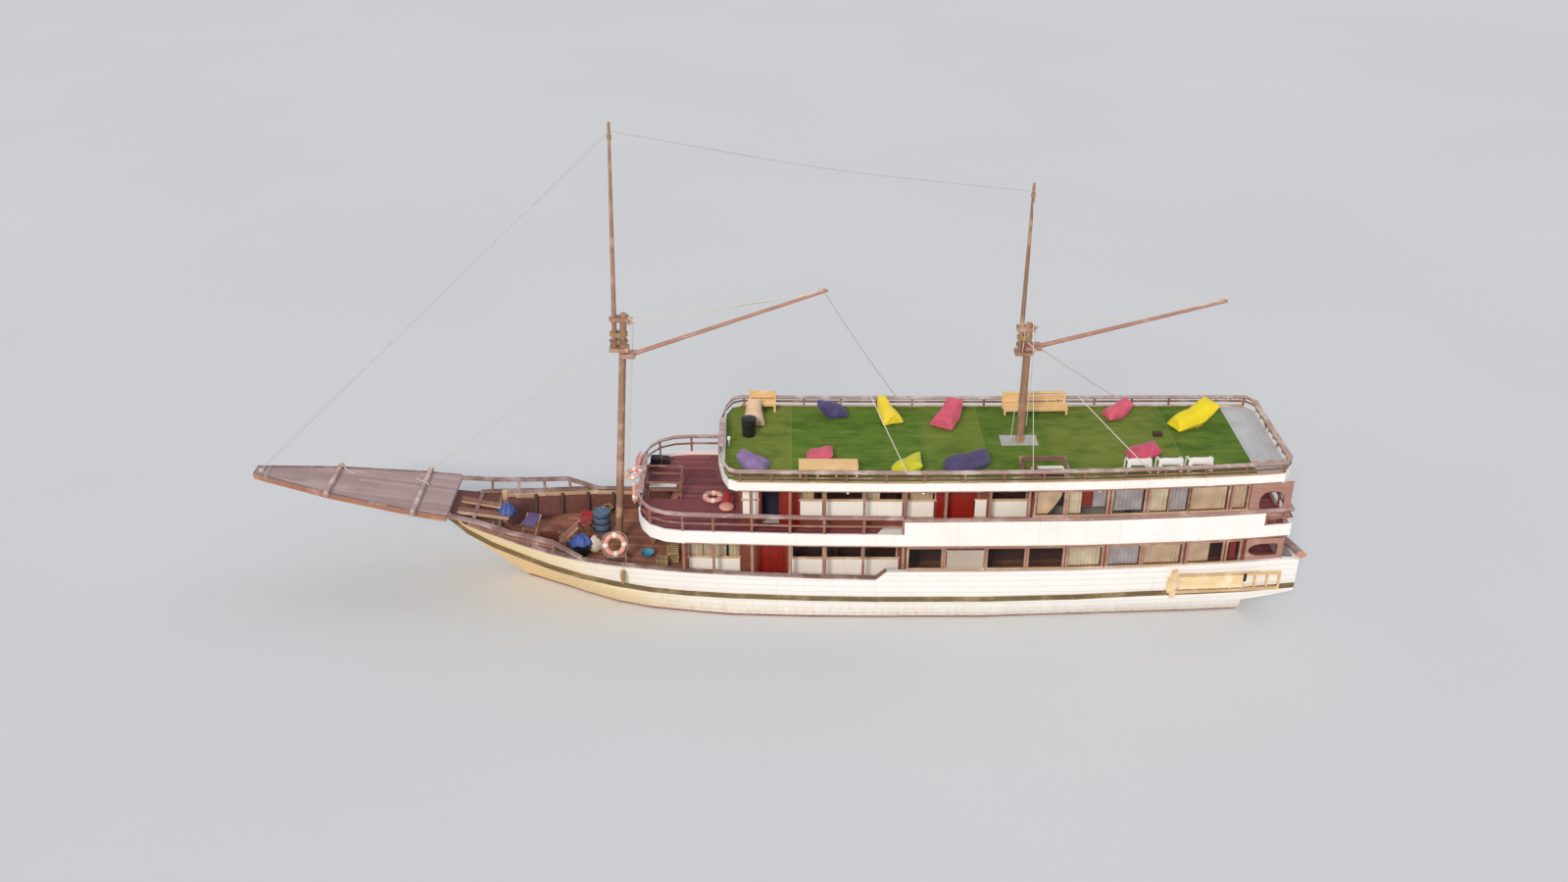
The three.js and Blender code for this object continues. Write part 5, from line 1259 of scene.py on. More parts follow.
# Round forms: rows of radius and height
BOWL = [(0.02, 0.0), (0.14, 0.0), (0.155, 0.015), (0.20, 0.14), (0.215, 0.145), (0.215, 0.13), (0.15, 0.03),
        (0.02, 0.02)]
TUB = [(0.02, 0.0), (0.26, 0.0), (0.30, 0.03), (0.33, 0.30), (0.36, 0.31), (0.36, 0.34), (0.31, 0.34),
       (0.27, 0.05), (0.02, 0.03)]
SACK = [(0.05, 0.0), (0.22, 0.02), (0.27, 0.15), (0.25, 0.30), (0.17, 0.42), (0.07, 0.49), (0.08, 0.54),
        (0.02, 0.55)]
FLOAT = [(0.02, 0.0), (0.16, 0.005), (0.23, 0.04), (0.24, 0.09), (0.20, 0.13), (0.11, 0.155), (0.03, 0.16)]
LAMP = [(0.02, 0.0), (0.05, 0.0), (0.05, 0.012), (0.015, 0.02), (0.013, 0.20), (0.04, 0.22), (0.05, 0.25),
        (0.05, 0.32), (0.035, 0.345), (0.02, 0.35)]


def foredeck_gear():
    """Chairs, table, reclining seat, tub, sack, bowl and crates."""
    deck_chair("fold_chair", -10.98, 0.16, 75, purple_cloth, pale_wood, 0.16, 0.56, 0.46)
    deck_chair("red_chair", -9.24, 0.44, 80, red_cloth, house_wood, 0.12, 0.60, 0.40)
    deck_table()
    deck_lounge()
    tub_and_tarps()
    sack_and_float()
    bowl = Shape().lathe(BOWL, (-7.13, -0.80, on_foredeck(-7.13)), 28)
    bowl.done("blue_bowl", bowl_plastic, "drum_plastic", angle=60)
    for i, (x, y, up, wide, tall) in enumerate(((-6.63, -1.36, 0, 0.36, 0.27), (-6.30, -1.02, 0, 0.34, 0.30),
                                                (-6.30, -1.02, 0.31, 0.34, 0.30))):
        crate(f"crate_{i}", x, y, on_foredeck(x) + up, wide, tall)


def heap(name, material, centre, size, over, seed, slot):
    """Crumpled sheet thrown over something: a low dome with deep folds that reaches down at its rim."""
    rng = random.Random(seed)
    phases = [(rng.uniform(0, 6.28), rng.randint(3, 7), rng.uniform(0.5, 1.0)) for _ in range(4)]
    rings, around = 9, 56
    points = []
    for i in range(1, rings):
        t = i / (rings - 1)
        ring = []
        for a in circle(around):
            fold = sum(w * math.sin(n * a + p + 2.0 * t) for p, n, w in phases) / 4
            crease = abs(math.sin(2.5 * a + phases[0][0] + 3.2 * t)) - 0.5
            dome = (1 - t) ** 0.9 * (1 + 0.30 * fold) - 0.22 * crease * math.sin(math.pi * t)
            r = t * (1 + 0.24 * fold * t) + 0.16 * t * (1 - t) * math.cos(a - phases[1][0])
            ring.append((centre[0] + size[0] * (r * math.cos(a) + 0.14 * (1 - t)),
                         centre[1] + size[1] * r * math.sin(a), centre[2] + max(0.0, over * dome + 0.012)))
        points.append(ring)
    shape = Shape().loft(points, caps=False)
    last = len(shape.points)
    shape.add([(centre[0], centre[1], centre[2] + over)], [])
    shape.faces += [(last, j, (j + 1) % around) for j in range(around)]
    piece = shape.done(name, material, slot, angle=180)
    piece.modifiers.new("cloth", "SOLIDIFY").thickness = 0.004


def tub_and_tarps():
    """Tub, and the sheets thrown over it, over the samson post and on the upper deck."""
    z = on_foredeck(-9.25)
    Shape().lathe(TUB, (-9.27, -0.80, z), 32).done("black_tub", black_plastic, "bin_plastic", angle=50)
    heap("tub_tarp", blue_tarp, (-9.27, -0.72, z + 0.33), (0.40, 0.33), 0.34, 3,
         "drum_plastic")
    heap("post_tarp", blue_tarp, (-11.66, -0.02, 2.306), (0.30, 0.29), 0.46, 5,
         "drum_plastic")
    heap("red_cloth_heap", red_cloth, (-4.60, -0.40, level(UPPER_FLOOR)(-4.6) + 0.012), (0.28, 0.34), 0.26,
         8, "red_door")


def sack_and_float():
    """Tied sack on the foredeck, lumpy all round, and a float on the upper deck."""
    x, y, z, rings = -8.82, -0.62, on_foredeck(-8.84), []
    for r, h in SACK:
        rings.append([(x + r * math.cos(a) * (1 + 0.10 * math.sin(3 * a + 9 * h)),
                       y + r * 0.85 * math.sin(a) * (1 + 0.12 * math.sin(4 * a + 5 * h)), z + h)
                      for a in circle(28)])
    piece = Shape().loft(rings).done("white_sack", canvas, "white_paint", angle=80)
    piece.modifiers.new("round", "SUBSURF").levels = 1
    pink = Shape().lathe(FLOAT, (-4.58, -0.98, level(UPPER_FLOOR)(-4.6) + 0.01), 28)
    pink.done("pink_float", ring_plastic, "white_plastic", angle=60)


def fender():
    """Rope fender that hangs from the cap on the port bow."""
    x = -7.74
    y, top = -(half_top(x) + 0.085), top_z(x) + 0.04
    bends = ((0.16, 0.012), (0.02, 0.03), (0, -0.06), (0, -0.2))
    tie = Shape().tube([(x, y + out, top + up) for out, up in bends], 0.012, 6)
    tie.done("fender_line", white_rope, "stay_wire", angle=80)
    body = Shape()
    for a in circle(9):
        path = []
        for i in range(9):
            t = i / 8
            r = 0.05 * math.sin(math.pi * min(1.0, t * 0.8 + 0.2)) + 0.012 + 0.02 * t
            twist = a + 2.2 * t
            path.append((x + r * math.cos(twist), y + r * math.sin(twist) * 0.8, top - 0.16 - 0.42 * t))
        body.tube(path, 0.019, 6)
    body.coil((x, y, top - 0.19), 0.042, 0.012, 4)
    body.done("fender_strands", tan_rope, "stay_wire", angle=80)


def drum():
    """Ribbed drum with its hoop, lid and three dark straps."""
    low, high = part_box("drum")
    centre, tall = (-8.72, 0.62, low.z + 0.002), high.z - low.z - 0.002
    profile = [(0.02, 0.0), (0.25, 0.0), (0.275, 0.02), (0.282, 0.05)]
    bulge = ((0.280, -0.035), (0.290, -0.012), (0.290, 0.012), (0.280, 0.035))
    for rib in (0.33, 0.66):
        profile += [(r, tall * rib + up) for r, up in bulge]
    profile += [(0.280, tall - 0.09), (0.268, tall - 0.05), (0.268, tall - 0.035), (0.02, tall - 0.035)]
    body = Shape().lathe(profile, centre, 40)
    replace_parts(body.done("drum_body", blue_plastic, "drum_plastic", angle=40), "drum")
    rim = ((0.02, 0.03), (0.272, 0.045), (0.286, 0.04), (0.286, 0.005), (0.27, 0), (0.245, 0.004),
           (0.235, 0.02), (0.02, 0.018))
    bung = ((0.02, 0.019), (0.035, 0.019), (0.035, 0.004), (0.02, 0.004))
    lid = Shape().lathe([(r, tall - down) for r, down in rim], centre, 40)
    lid.lathe([(r, tall - down) for r, down in bung], (centre[0] - 0.14, centre[1] - 0.05, centre[2]), 12)
    lid.done("drum_lid", blue_plastic, "drum_plastic", angle=40)
    straps, strap = Shape(), ((0.279, -0.018), (0.2885, -0.018), (0.2885, 0.018), (0.279, 0.018))
    for h in (0.18, 0.50, 0.82):
        straps.lathe([(r, tall * h + up) for r, up in strap], centre, 40)
    straps.done("drum_straps", black_plastic, "bin_plastic", angle=40)


def deck_bin():
    """Bin with fine ribs round its middle, and a domed lid."""
    x, y = -3.9, 0.42
    z0 = turf_z(x) + HAIR
    tall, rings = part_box("deck_bin")[1].z - z0, []
    for i in range(13):
        h = i / 12
        radii = [0.205 + 0.033 * h - (0.0045 if 0.12 < h < 0.78 else 0.0) * (k % 2) for k in range(56)]
        rings.append([(x + r * math.cos(a), y + r * math.sin(a), z0 + (tall - 0.06) * h)
                      for r, a in zip(radii, circle(56))])
    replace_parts(Shape().loft(rings).done("bin_body", black_plastic, "bin_plastic", angle=25), "deck_bin")
    lid = Shape().lathe([(r, tall - 0.058 + up) for r, up in (
        (0.02, 0), (0.240, 0), (0.246, 0.006), (0.246, 0.026), (0.225, 0.036), (0.13, 0.052), (0.05, 0.058),
        (0.02, 0.058))], (x, y, z0), 48)
    lid.done("bin_lid", black_plastic, "bin_plastic", angle=30)


# Bean bags: name, place, length, width, height, turn, widths of the front and back seams, thickness, colours
BAGS = [
    ("beige", -3.76, 1.40, 0.95, 0.80, 0.62, 90, 0.9, 0.45, 0.50, (240, 206, 172), (214, 170, 134)),
    ("navy_starboard", -1.28, 1.78, 1.0, 0.78, 0.60, 200, 0.95, 0.5, 0.48, (84, 76, 128), (50, 46, 90)),
    ("yellow_starboard", 0.5, 1.64, 1.15, 0.78, 0.62, 110, 1.0, 0.32, 0.5, (248, 226, 60), (230, 196, 34)),
    ("pink_middle", 2.44, 1.35, 1.25, 0.95, 0.70, 60, 0.9, 0.6, 0.54, (222, 98, 122), (176, 58, 90)),
    ("pink_starboard", 7.9, 1.64, 0.95, 0.74, 0.54, 20, 0.8, 0.7, 0.48, (226, 102, 126), (180, 60, 90)),
    ("yellow_large", 10.15, 1.0, 1.65, 0.90, 0.72, 25, 0.8, 0.9, 0.56, (250, 228, 22), (232, 200, 10)),
    ("purple", -3.75, -1.70, 1.05, 0.80, 0.50, 160, 1.0, 0.6, 0.44, (150, 124, 176), (98, 72, 128)),
    ("pink_port", -1.69, -1.10, 0.95, 0.75, 0.32, 0, 0.95, 0.9, 0.36, (222, 100, 126), (180, 62, 92)),
    ("lime", 0.90, -1.82, 1.00, 0.92, 0.46, 0, 0.3, 1.05, 0.42, (216, 214, 44), (182, 180, 24)),
    ("navy_port", 2.74, -1.60, 1.55, 0.95, 0.44, 0, 0.7, 0.95, 0.46, (78, 68, 114), (46, 40, 80)),
    ("pink_aft", 8.15, -1.02, 1.15, 0.80, 0.32, 5, 0.7, 1.0, 0.40, (216, 88, 116), (166, 50, 82)),
]


def bag_surface(long, wide, high, front, back, thick):
    """A square cushion folded into seat and back: points over its middle sheet, and its depth there."""
    fold = 0.45

    def spine(t):
        if t <= fold:
            u = t / fold
            return Vector((long * 0.5 * (u - 1), 0, high * (0.10 + 0.16 * math.sin(u * math.pi / 2))))
        u = (t - fold) / (1 - fold)
        return Vector((long * 0.43 * u ** 0.9, 0, high * (0.26 + 0.70 * u ** 1.25)))

    sheet = []
    across, along = 17, 25
    for i in range(along):
        t = i / (along - 1)
        middle = spine(t)
        ahead = (spine(min(1, t + 0.02)) - spine(max(0, t - 0.02))).normalized()
        up = Vector((-ahead.z, 0, ahead.x))
        belly = math.sin(math.pi * t) ** 0.5
        half = wide / 2 * ((1 - t) * front + t * back + 0.10 * belly)
        row = []
        for j in range(across):
            v = -1 + 2 * j / (across - 1)
            depth = thick / 2 * belly * (1 - abs(v) ** 2.6) ** 0.6 if 0 < i < along - 1 else 0.0
            row.append((middle + Vector((0, half * v, 0)), up * depth))
        sheet.append(row)
    return sheet


def bean_bag(name, x, y, long, wide, high, turn, front, back, thick, colour, shade):
    """Cushion joined from its two sides, puffed, pressed onto the turf, and piped round its seam."""
    sheet = bag_surface(long, wide, high, front, back, thick)
    place = Matrix.Translation((x, y, 0)) @ Matrix.Rotation(math.radians(turn), 4, "Z")

    def put(point):
        spot = place @ point
        spot.z = max(point.z, 0.0) + turf_z(spot.x) + 0.002
        return spot

    rings = []
    for row in sheet:
        top = [put(p + d) for p, d in row]
        under = [put(p - d * (0.75 if p.z - d.z > 0 else 1.0)) for p, d in row]
        rings.append(top + under[-2:0:-1])
    material = cloth(f"{name}_cloth", colour, shade, 480.0, 0.72, 0.3, 0.15)
    piece = Shape().loft(rings).done(f"{name}_cushion", material, name, angle=180)
    join = piece.modifiers.new("join", "REMESH")
    join.mode = "VOXEL"
    join.voxel_size = 0.024
    apply_modifiers(piece)
    puff(piece, cap=0.05)
    settle(piece)
    round_out = piece.modifiers.new("round", "SUBSURF")
    round_out.levels = round_out.render_levels = 1
    shade_smooth(piece)
    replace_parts(piece, name)
    piping(name, sheet, place, piece, material)


def apply_modifiers(piece):
    """Turns the modified form into the piece's own mesh."""
    graph = bpy.context.evaluated_depsgraph_get()
    graph.update()
    final = bpy.data.meshes.new_from_object(piece.evaluated_get(graph), depsgraph=graph)
    piece.modifiers.clear()
    piece.data = final


def puff(piece, cap, steps=16, pressure=3.5):
    """Swells a closed cushion with cloth under pressure, moving no point further than cap."""
    start = [v.co.copy() for v in piece.data.vertices]
    swell = piece.modifiers.new("cloth", "CLOTH")
    swell.settings.use_pressure = True
    swell.settings.uniform_pressure_force = pressure
    swell.settings.quality = 4
    swell.settings.tension_stiffness = 12
    swell.settings.compression_stiffness = 12
    swell.settings.bending_stiffness = 0.6
    swell.settings.effector_weights.gravity = 0
    swell.point_cache.frame_start, swell.point_cache.frame_end = 1, steps
    for number in range(1, steps + 1):
        bpy.context.scene.frame_set(number)
    apply_modifiers(piece)
    bpy.context.scene.frame_set(1)
    for vertex, old in zip(piece.data.vertices, start):
        move = vertex.co - old
        if move.length > cap:
            vertex.co = old + move * (cap / move.length)


def settle(piece):
    """Presses what lies under the turf's surface flat onto it."""
    for vertex in piece.data.vertices:
        floor = turf_z(vertex.co.x) + 0.003
        if vertex.co.z < floor + 0.01:
            vertex.co.z = floor + 0.01 * max(0.0, min(1.0, (vertex.co.z - floor + 0.05) / 0.06))


def piping(name, sheet, place, piece, material):
    """Seam along the cushion's sides and ends, laid on its final surface."""
    tree = BVHTree.FromObject(piece, bpy.context.evaluated_depsgraph_get())
    near, far = [row[0][0] for row in sheet], [row[-1][0] for row in sheet[::-1]]
    head, foot = ([p for p, _ in row[1:-1]] for row in (sheet[-1], sheet[0][::-1]))
    edge = near + head + far + foot
    path = []
    for point in edge:
        spot = place @ point
        spot.z = max(point.z, 0.0) + turf_z(spot.x) + 0.01
        found, normal, _, _ = tree.find_nearest(spot)
        path.append(found + normal * 0.004)
    for _ in range(2):
        path = [(path[i - 1] + path[i] * 2 + path[(i + 1) % len(path)]) / 4 for i in range(len(path))]
    for p in path:
        p.z = max(p.z, turf_z(p.x) + 0.012)
    Shape().tube(path, 0.010, 6, closed=True).done(f"{name}_seam", material, name, angle=180)


# Pale wooden benches: node, place, length, depth, seat, height and the side its back is on
BENCHES = [
    ("bench_forward", -3.495, 2.23, 0.86, 0.42, 0.30, 0.60, 1),
    ("bench_large", 5.30, 2.08, 2.05, 0.56, 0.23, 0.56, 1),
    ("bench_port", -1.48, -2.09, 1.75, 0.56, 0.40, 0.40, -1),
]


def bench(node, x, y, long, deep, seat, high, back):
    """Bench of slats on legs and rails, with the back that its kind has."""
    base = level(TURF + HAIR)
    x0, x1 = x - long / 2, x + long / 2
    front = y - back * deep / 2
    under = base + (seat - 0.03)

    def across(a, b):
        """Two places measured from the front towards the back, in order."""
        return sorted((front + back * a, front + back * b))

    shape, slats = Shape(), Shape()
    inside = across(0.06, deep - 0.06)
    for xa in (x0, x1 - 0.07):
        shape.bar(xa, xa + 0.07, *across(0.0, 0.06), base, under)
        shape.bar(xa, xa + 0.07, *across(deep - 0.06, deep), base, base + high if high > seat else under)
        shape.bar(xa + 0.01, xa + 0.06, *inside, base + (seat - 0.10), under)
        shape.bar(xa + 0.015, xa + 0.055, *inside, base + 0.06, base + 0.10)
    for a in (0.008, deep - 0.05):
        shape.bar(x0 + 0.07, x1 - 0.07, *across(a, a + 0.03), base + (seat - 0.10), under)
    count = 5 if deep < 0.5 else 6
    pitch = (deep + 0.01) / count
    for k in range(count):
        a = k * pitch - 0.01
        slats.bar(x0 - 0.01, x1 + 0.01, *across(a, a + pitch - 0.018), under, base + (seat - 0.005))
    if node == "bench_large":
        boarded_back(slats, across, base, x0, x1, deep, seat, high)
    elif node == "bench_port":
        for s in (0.30, 0.62):
            shape.bar(x0 + s * long, x0 + s * long + 0.06, *across(0.03, deep - 0.03), base, under)
    else:
        rounded_back(shape, across, x, long, deep, seat + (high - seat) * 0.54)
    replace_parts(shape.done(f"{node}_frame", pale_wood, "pale_wood", bevel=0.006), node)
    slats.done(f"{node}_slats", pale_wood, "pale_wood", bevel=0.005)


def boarded_back(slats, across, base, x0, x1, deep, seat, high):
    """Three long boards on uprights under a cap, closed at the forward end."""
    for z in (seat + 0.06, seat + 0.135, high - 0.09):
        slats.bar(x0 + 0.06, x1 - 0.06, *across(deep - 0.05, deep - 0.02), base + z, base + (z + 0.05))
    cap = across(deep - 0.115, deep + 0.01)
    slats.bar(x0 - 0.01, x1 + 0.01, *cap, base + (high + HAIR), base + (high + 0.025))
    low, top = base + (seat + 0.02), base + (high - 0.01)
    for k in range(5):
        xa = x0 + 0.52 + 0.30 * k
        slats.bar(xa, xa + 0.05, *across(deep - 0.062, deep - 0.048), low, top)
    slats.bar(x0 - 0.01, x0 + 0.50, *across(deep - 0.085, deep - 0.062), base + (seat + 0.01), top)


def rounded_back(shape, across, x, long, deep, z):
    """Board with rounded ends and a slot for the hand."""
    outer, inner = [], []
    for a in circle(32):
        c, s = squared_ring(a, 8)
        outer.append((x + (long / 2 - 0.075) * c, z + 0.125 * s))
        inner.append((x + 0.09 + 0.10 * math.cos(a), z + 0.022 * math.sin(a)))
    y0, y1 = across(deep - 0.045, deep - 0.015)
    shape.loft([[(px, y, rise(px) + TURF + pz) for px, pz in loop]
                for loop, y in ((outer, y0), (outer, y1), (inner, y1), (inner, y0))], around=True)


def white_chair(node, x, y):
    """Moulded chair seen from behind: a broad rounded band over one wide opening, arms and splayed legs."""
    z = turf_z(x) + HAIR
    wide, deep, seat, high = 0.76, 0.50, 0.30, 0.54
    shell, legs = Shape(), Shape()
    seat_rings = []
    for i in range(9):
        t = i / 8
        yy = y + deep / 2 - 0.02 - t * (deep - 0.08)
        half = wide / 2 - 0.06 - 0.02 * t
        dip = 0.025 * math.sin(math.pi * t)
        row = []
        for k in range(11):
            s = -1 + k / 5
            row.append((x + half * s, yy, z + seat - dip * (1 - s * s) - (0.02 if i == 0 else 0)))
        seat_rings.append(row + [(px, py, pz - 0.016) for px, py, pz in row[::-1]])
    shell.loft(seat_rings)
    back_y = y - deep / 2 + 0.02

    def back_at(s, h):
        """A place on the curved back: across from -1 to 1, height above the turf."""
        half = wide / 2 - 0.01 - 0.02 * h / high
        return (x + half * s, back_y + 0.05 * s * s - 0.03 * h / high, z + h)

    def strip(cells):
        rings = [[back_at(s, h) for s, h in cell] for cell in cells]
        shell.loft([ring + [(px, py + 0.03, pz) for px, py, pz in ring[::-1]] for ring in rings])

    across = [-1 + k / 12 for k in range(25)]
    strip([[(s, high - 0.17), (s, high - 0.09 * abs(s) ** 6)] for s in across])
    for side in (-1, 1):
        strip([[(side * s, 0.06), (side * s, high - 0.168)] for s in (0.72, 0.8, 0.88, 0.96, 0.999)])
        edge = x + side * (wide / 2 - 0.03)
        arm = ((0.09 - deep / 2 + 0.02, 0.43), (-0.06, 0.42), (0.06, 0.40), (deep / 2 - 0.12, 0.37),
               (deep / 2 - 0.09, 0.34), (deep / 2 - 0.09, 0.28))
        legs.tube([(edge, y + ya, z + za) for ya, za in arm], 0.032, 8, flat=0.62)
        for yy, toe in ((y + deep / 2 - 0.06, 0.03), (y - deep / 2 + 0.07, -0.02)):
            legs.tube([(edge - side * 0.01, yy, z + seat + 0.02), (edge, yy + toe, z)], [0.032, 0.024], 8)
    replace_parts(shell.done(f"{node}_shell", white_plastic, "white_plastic", angle=50), node)
    legs.done(f"{node}_legs", white_plastic, "white_plastic", angle=60)


# Axes of the masts and topmasts: place along the deck and height, of the foot and of the head
FORE_AXIS = ((-8.13, 1.16), (-7.58, 9.19))
FORE_TOP = ((-7.895, 8.12), (-7.70, 14.97))
MAIN_AXIS = ((4.53, 4.85), (4.53, 8.88))
MAIN_TOP = ((4.308, 8.0), (4.33, 13.21))
# Where a mast and its topmast stand side by side: their axes, the mast's radius, and the heights of the hoops
DOUBLINGS = ((FORE_AXIS, FORE_TOP, 0.125, (8.3, 9.02)), (MAIN_AXIS, MAIN_TOP, 0.105, (8.2, 8.72)))
# Rope wound round one spar: its axis and radius, the coil's height and its turns
COILS = ((FORE_TOP, 0.052, 14.55, 5), (MAIN_TOP, 0.05, 12.85, 5), (MAIN_AXIS, 0.108, 5.03, 9))


def along_mast(line, z):
    """Where a mast's axis is at one height."""
    (x0, z0), (x1, z1) = line
    return x0 + (x1 - x0) * (z - z0) / (z1 - z0)


def round_both(low, top, radius, z, count):
    """Loop round a mast and its topmast at one height."""
    xa, xb = along_mast(low, z), along_mast(top, z)
    middle, reach = (xa + xb) / 2, abs(xa - xb) / 2
    return [(middle + (reach + radius) * math.cos(a), radius * math.sin(a), z) for a in circle(count)]


def mast_bands():
    """Hoops round the masts and topmasts, and their lashings."""
    hoops, rope_work = Shape(), Shape()
    for low, top, radius, heights in DOUBLINGS:
        for z in heights:
            path = round_both(low, top, radius + 0.012, z, 40)
            for dz in (-0.05, 0.05):
                hoops.tube([(px, py, pz + dz) for px, py, pz in path], 0.013, 6, closed=True)
            hoops.tube(path, 0.022, 6, closed=True)
        for turn in range(5):
            z = heights[0] + 0.18 + turn * 0.028
            rope_work.tube(round_both(low, top, radius + 0.008, z, 32), 0.012, 6, closed=True)
    for line, radius, z, turns in COILS:
        rope_work.coil((along_mast(line, z), 0, z), radius, 0.012, turns)
    hoops.done("mast_hoops", post_wood, "mast_wood", angle=50)
    rope_work.done("mast_lashings", tan_rope, "stay_wire", angle=80)


def rig_block(shape, sheave, place, lean=(0, 0, 1)):
    """Wooden pulley block: two cheeks round a sheave."""
    axis = Vector(lean).normalized()
    turn = Vector((0, 0, 1)).rotation_difference(axis).to_matrix()
    for s in (-1, 1):
        rings = []
        for h, r in ((-0.085, 0.012), (-0.06, 0.045), (0.0, 0.06), (0.06, 0.045), (0.085, 0.012)):
            ring = [(r * math.cos(a), s * 0.026 + 0.014 * math.sin(a), h) for a in circle(14)]
            rings.append([Vector(place) + turn @ Vector(p) for p in ring])
        shape.loft(rings)
    sheave.lathe([(0.01, -0.012), (0.04, -0.012), (0.034, 0.0), (0.04, 0.012), (0.01, 0.012)], place, 16,
                 turn @ Matrix.Rotation(math.pi / 2, 3, "X"))
    sheave.torus(Vector(place) + axis * 0.10, 0.02, 0.007, turn @ Vector((0, 1, 0)), 16, 6)


# Lines of the rig: name, from, to, radius, gaff it is made fast to at its far end, and sag
RAIL_Z = SUN_RAIL + 0.02
FORE_PEAK, MAIN_PEAK = (-1.62, 0.0, 9.90), (10.24, 0.0, 9.56)
LINES = [
    ("fore_peak_halyard_a", (-7.44, 0.06, 8.86), FORE_PEAK, 0.018, "fore_gaff_body", 0.03),
    ("fore_peak_halyard_b", (-7.44, -0.06, 9.06), (-2.0, 0.0, 9.80), 0.018, "fore_gaff_body", 0.03),
    ("fore_vang_starboard", (0.87, 2.49, RAIL_Z), FORE_PEAK, 0.015, "fore_gaff_body", 0.08),
    ("fore_vang_port", (0.82, -2.42, RAIL_Z), FORE_PEAK, 0.015, "fore_gaff_body", 0.08),
    ("main_peak_halyard", (4.66, 0, 8.74), MAIN_PEAK, 0.018, "main_gaff_body", 0.03),
    ("main_upper_span", (4.42, 0, 9.9), MAIN_PEAK, 0.012, "main_gaff_body", 0.02),
    ("main_line_port", (7.95, -2.42, RAIL_Z + 0.10), (4.53, -0.12, 8.3), 0.015, None, 0.04),
    ("main_line_starboard", (7.90, 2.42, RAIL_Z + 0.10), (4.53, 0.12, 8.3), 0.015, None, 0.04),
    ("main_top_line", (4.34, -0.02, 12.7), (4.57, -2.44, RAIL_Z + 0.03), 0.012, None, 0.0),
    ("main_halyard_fall", (4.76, 0.05, 8.62), (4.72, 0.14, 5.35), 0.012, None, 0.0),
    ("main_halyard_fall_b", (4.40, -0.13, 8.62), (4.20, -0.26, 4.97), 0.012, None, 0.0),
    ("fore_halyard_fall", (-7.30, 0.05, 8.86), (-7.72, 0.2, 3.62), 0.010, None, 0.0),
    ("fore_halyard_fall_b", (-7.35, -0.06, 8.86), (-7.76, -0.22, 3.62), 0.010, None, 0.0),
]

# Pulley blocks: name, body they ride on, and the place and lean of each
RIG_BLOCKS = [
    ("mast_head", "root", [((-7.40, 0.06, 8.86), (1, 0, 0.2)), ((-7.40, -0.06, 9.06), (1, 0, 0.15)),
                           ((4.70, 0, 8.74), (1, 0, 0.15))]),
    ("fore_peak", "fore_gaff_body", [((-1.70, 0.0, 9.93), (1, 0, 0.3))]),
    ("main_peak", "main_gaff_body", [((10.16, 0.0, 9.60), (1, 0, 0.3))]),
]


def rig_lines():
    """Halyards, vangs and falls, and the pulley blocks they lead through."""
    for name, start, end, radius, gaff, sag in LINES:
        path = []
        for k in range(25):
            t = k / 24
            path.append(Vector(start).lerp(Vector(end), t) - Vector((0, 0, sag * 4 * t * (1 - t))))
        shape = Shape().tube(path, radius, 6)
        piece = shape.done(name, white_rope, "stay_wire", body=None if gaff else "root", angle=80)
        if gaff:
            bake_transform(piece)
    for name, body, places in RIG_BLOCKS:
        wood_work, sheaves = Shape(), Shape()
        for place, lean in places:
            rig_block(wood_work, sheaves, place, lean)
        wood_work.done(f"{name}_blocks", sill_wood, "mast_wood", body, angle=50)
        sheaves.done(f"{name}_sheaves", dark_steel, "grey_steel", body, angle=50)


def stern_plank():
    """Plank that reaches out over the port quarter, with its painted end."""
    plank = Shape().beam((12.62, -1.26, 2.29), (13.08, -2.10, 2.10), 0.25, 0.09)
    plank.done("stern_plank", cap_wood, "brown_wood", bevel=0.012)
    tip = Shape().beam((13.06, -2.06, 2.109), (13.15, -2.225, 2.071), 0.256, 0.096)
    tip.done("stern_plank_end", orange_cap, "brown_wood", bevel=0.012)


def gangway():
    """Boards, poles, end and bracket of the gangway stowed outside the port quarter."""
    boards, poles, ends = Shape(), Shape(), Shape()
    half = half_rub + 0.14
    for z0, z1 in ((1.22, 1.40), (1.405, 1.66)):
        boards.bar(9.30, 11.26, (half + 0.075) * -1, (half + 0.055) * -1, z0, z1)
    boards.done("gangway_boards", gangway_wood, "pale_wood", bevel=0.006)
    for x0, x1, z in ((9.27, 11.75, 1.76), (9.30, 12.30, 1.16)):
        thirds = (x0, (2 * x0 + x1) / 3, (x0 + 2 * x1) / 3, x1)
        poles.tube([(x, -(half(x) + 0.085), z) for x in thirds], 0.028, 8)
    poles.done("gangway_poles", sill_wood, "pale_wood", angle=60)
    y = -half(9.1)
    ends.block(9.02, 9.09, y - 0.10, y, 0.94, 1.86)
    ends.block(8.93, 9.02, y - 0.09, y - 0.01, 1.10, 1.60)
    ends.done("gangway_end", ladder_wood, "pale_wood", bevel=0.008)
    y = -half(11.3)
    bracket = Shape().block(11.27, 11.35, y - 0.085, y - 0.02, 1.44, 1.74)
    bracket.done("gangway_bracket", dark_steel, "grey_steel", bevel=0.006)


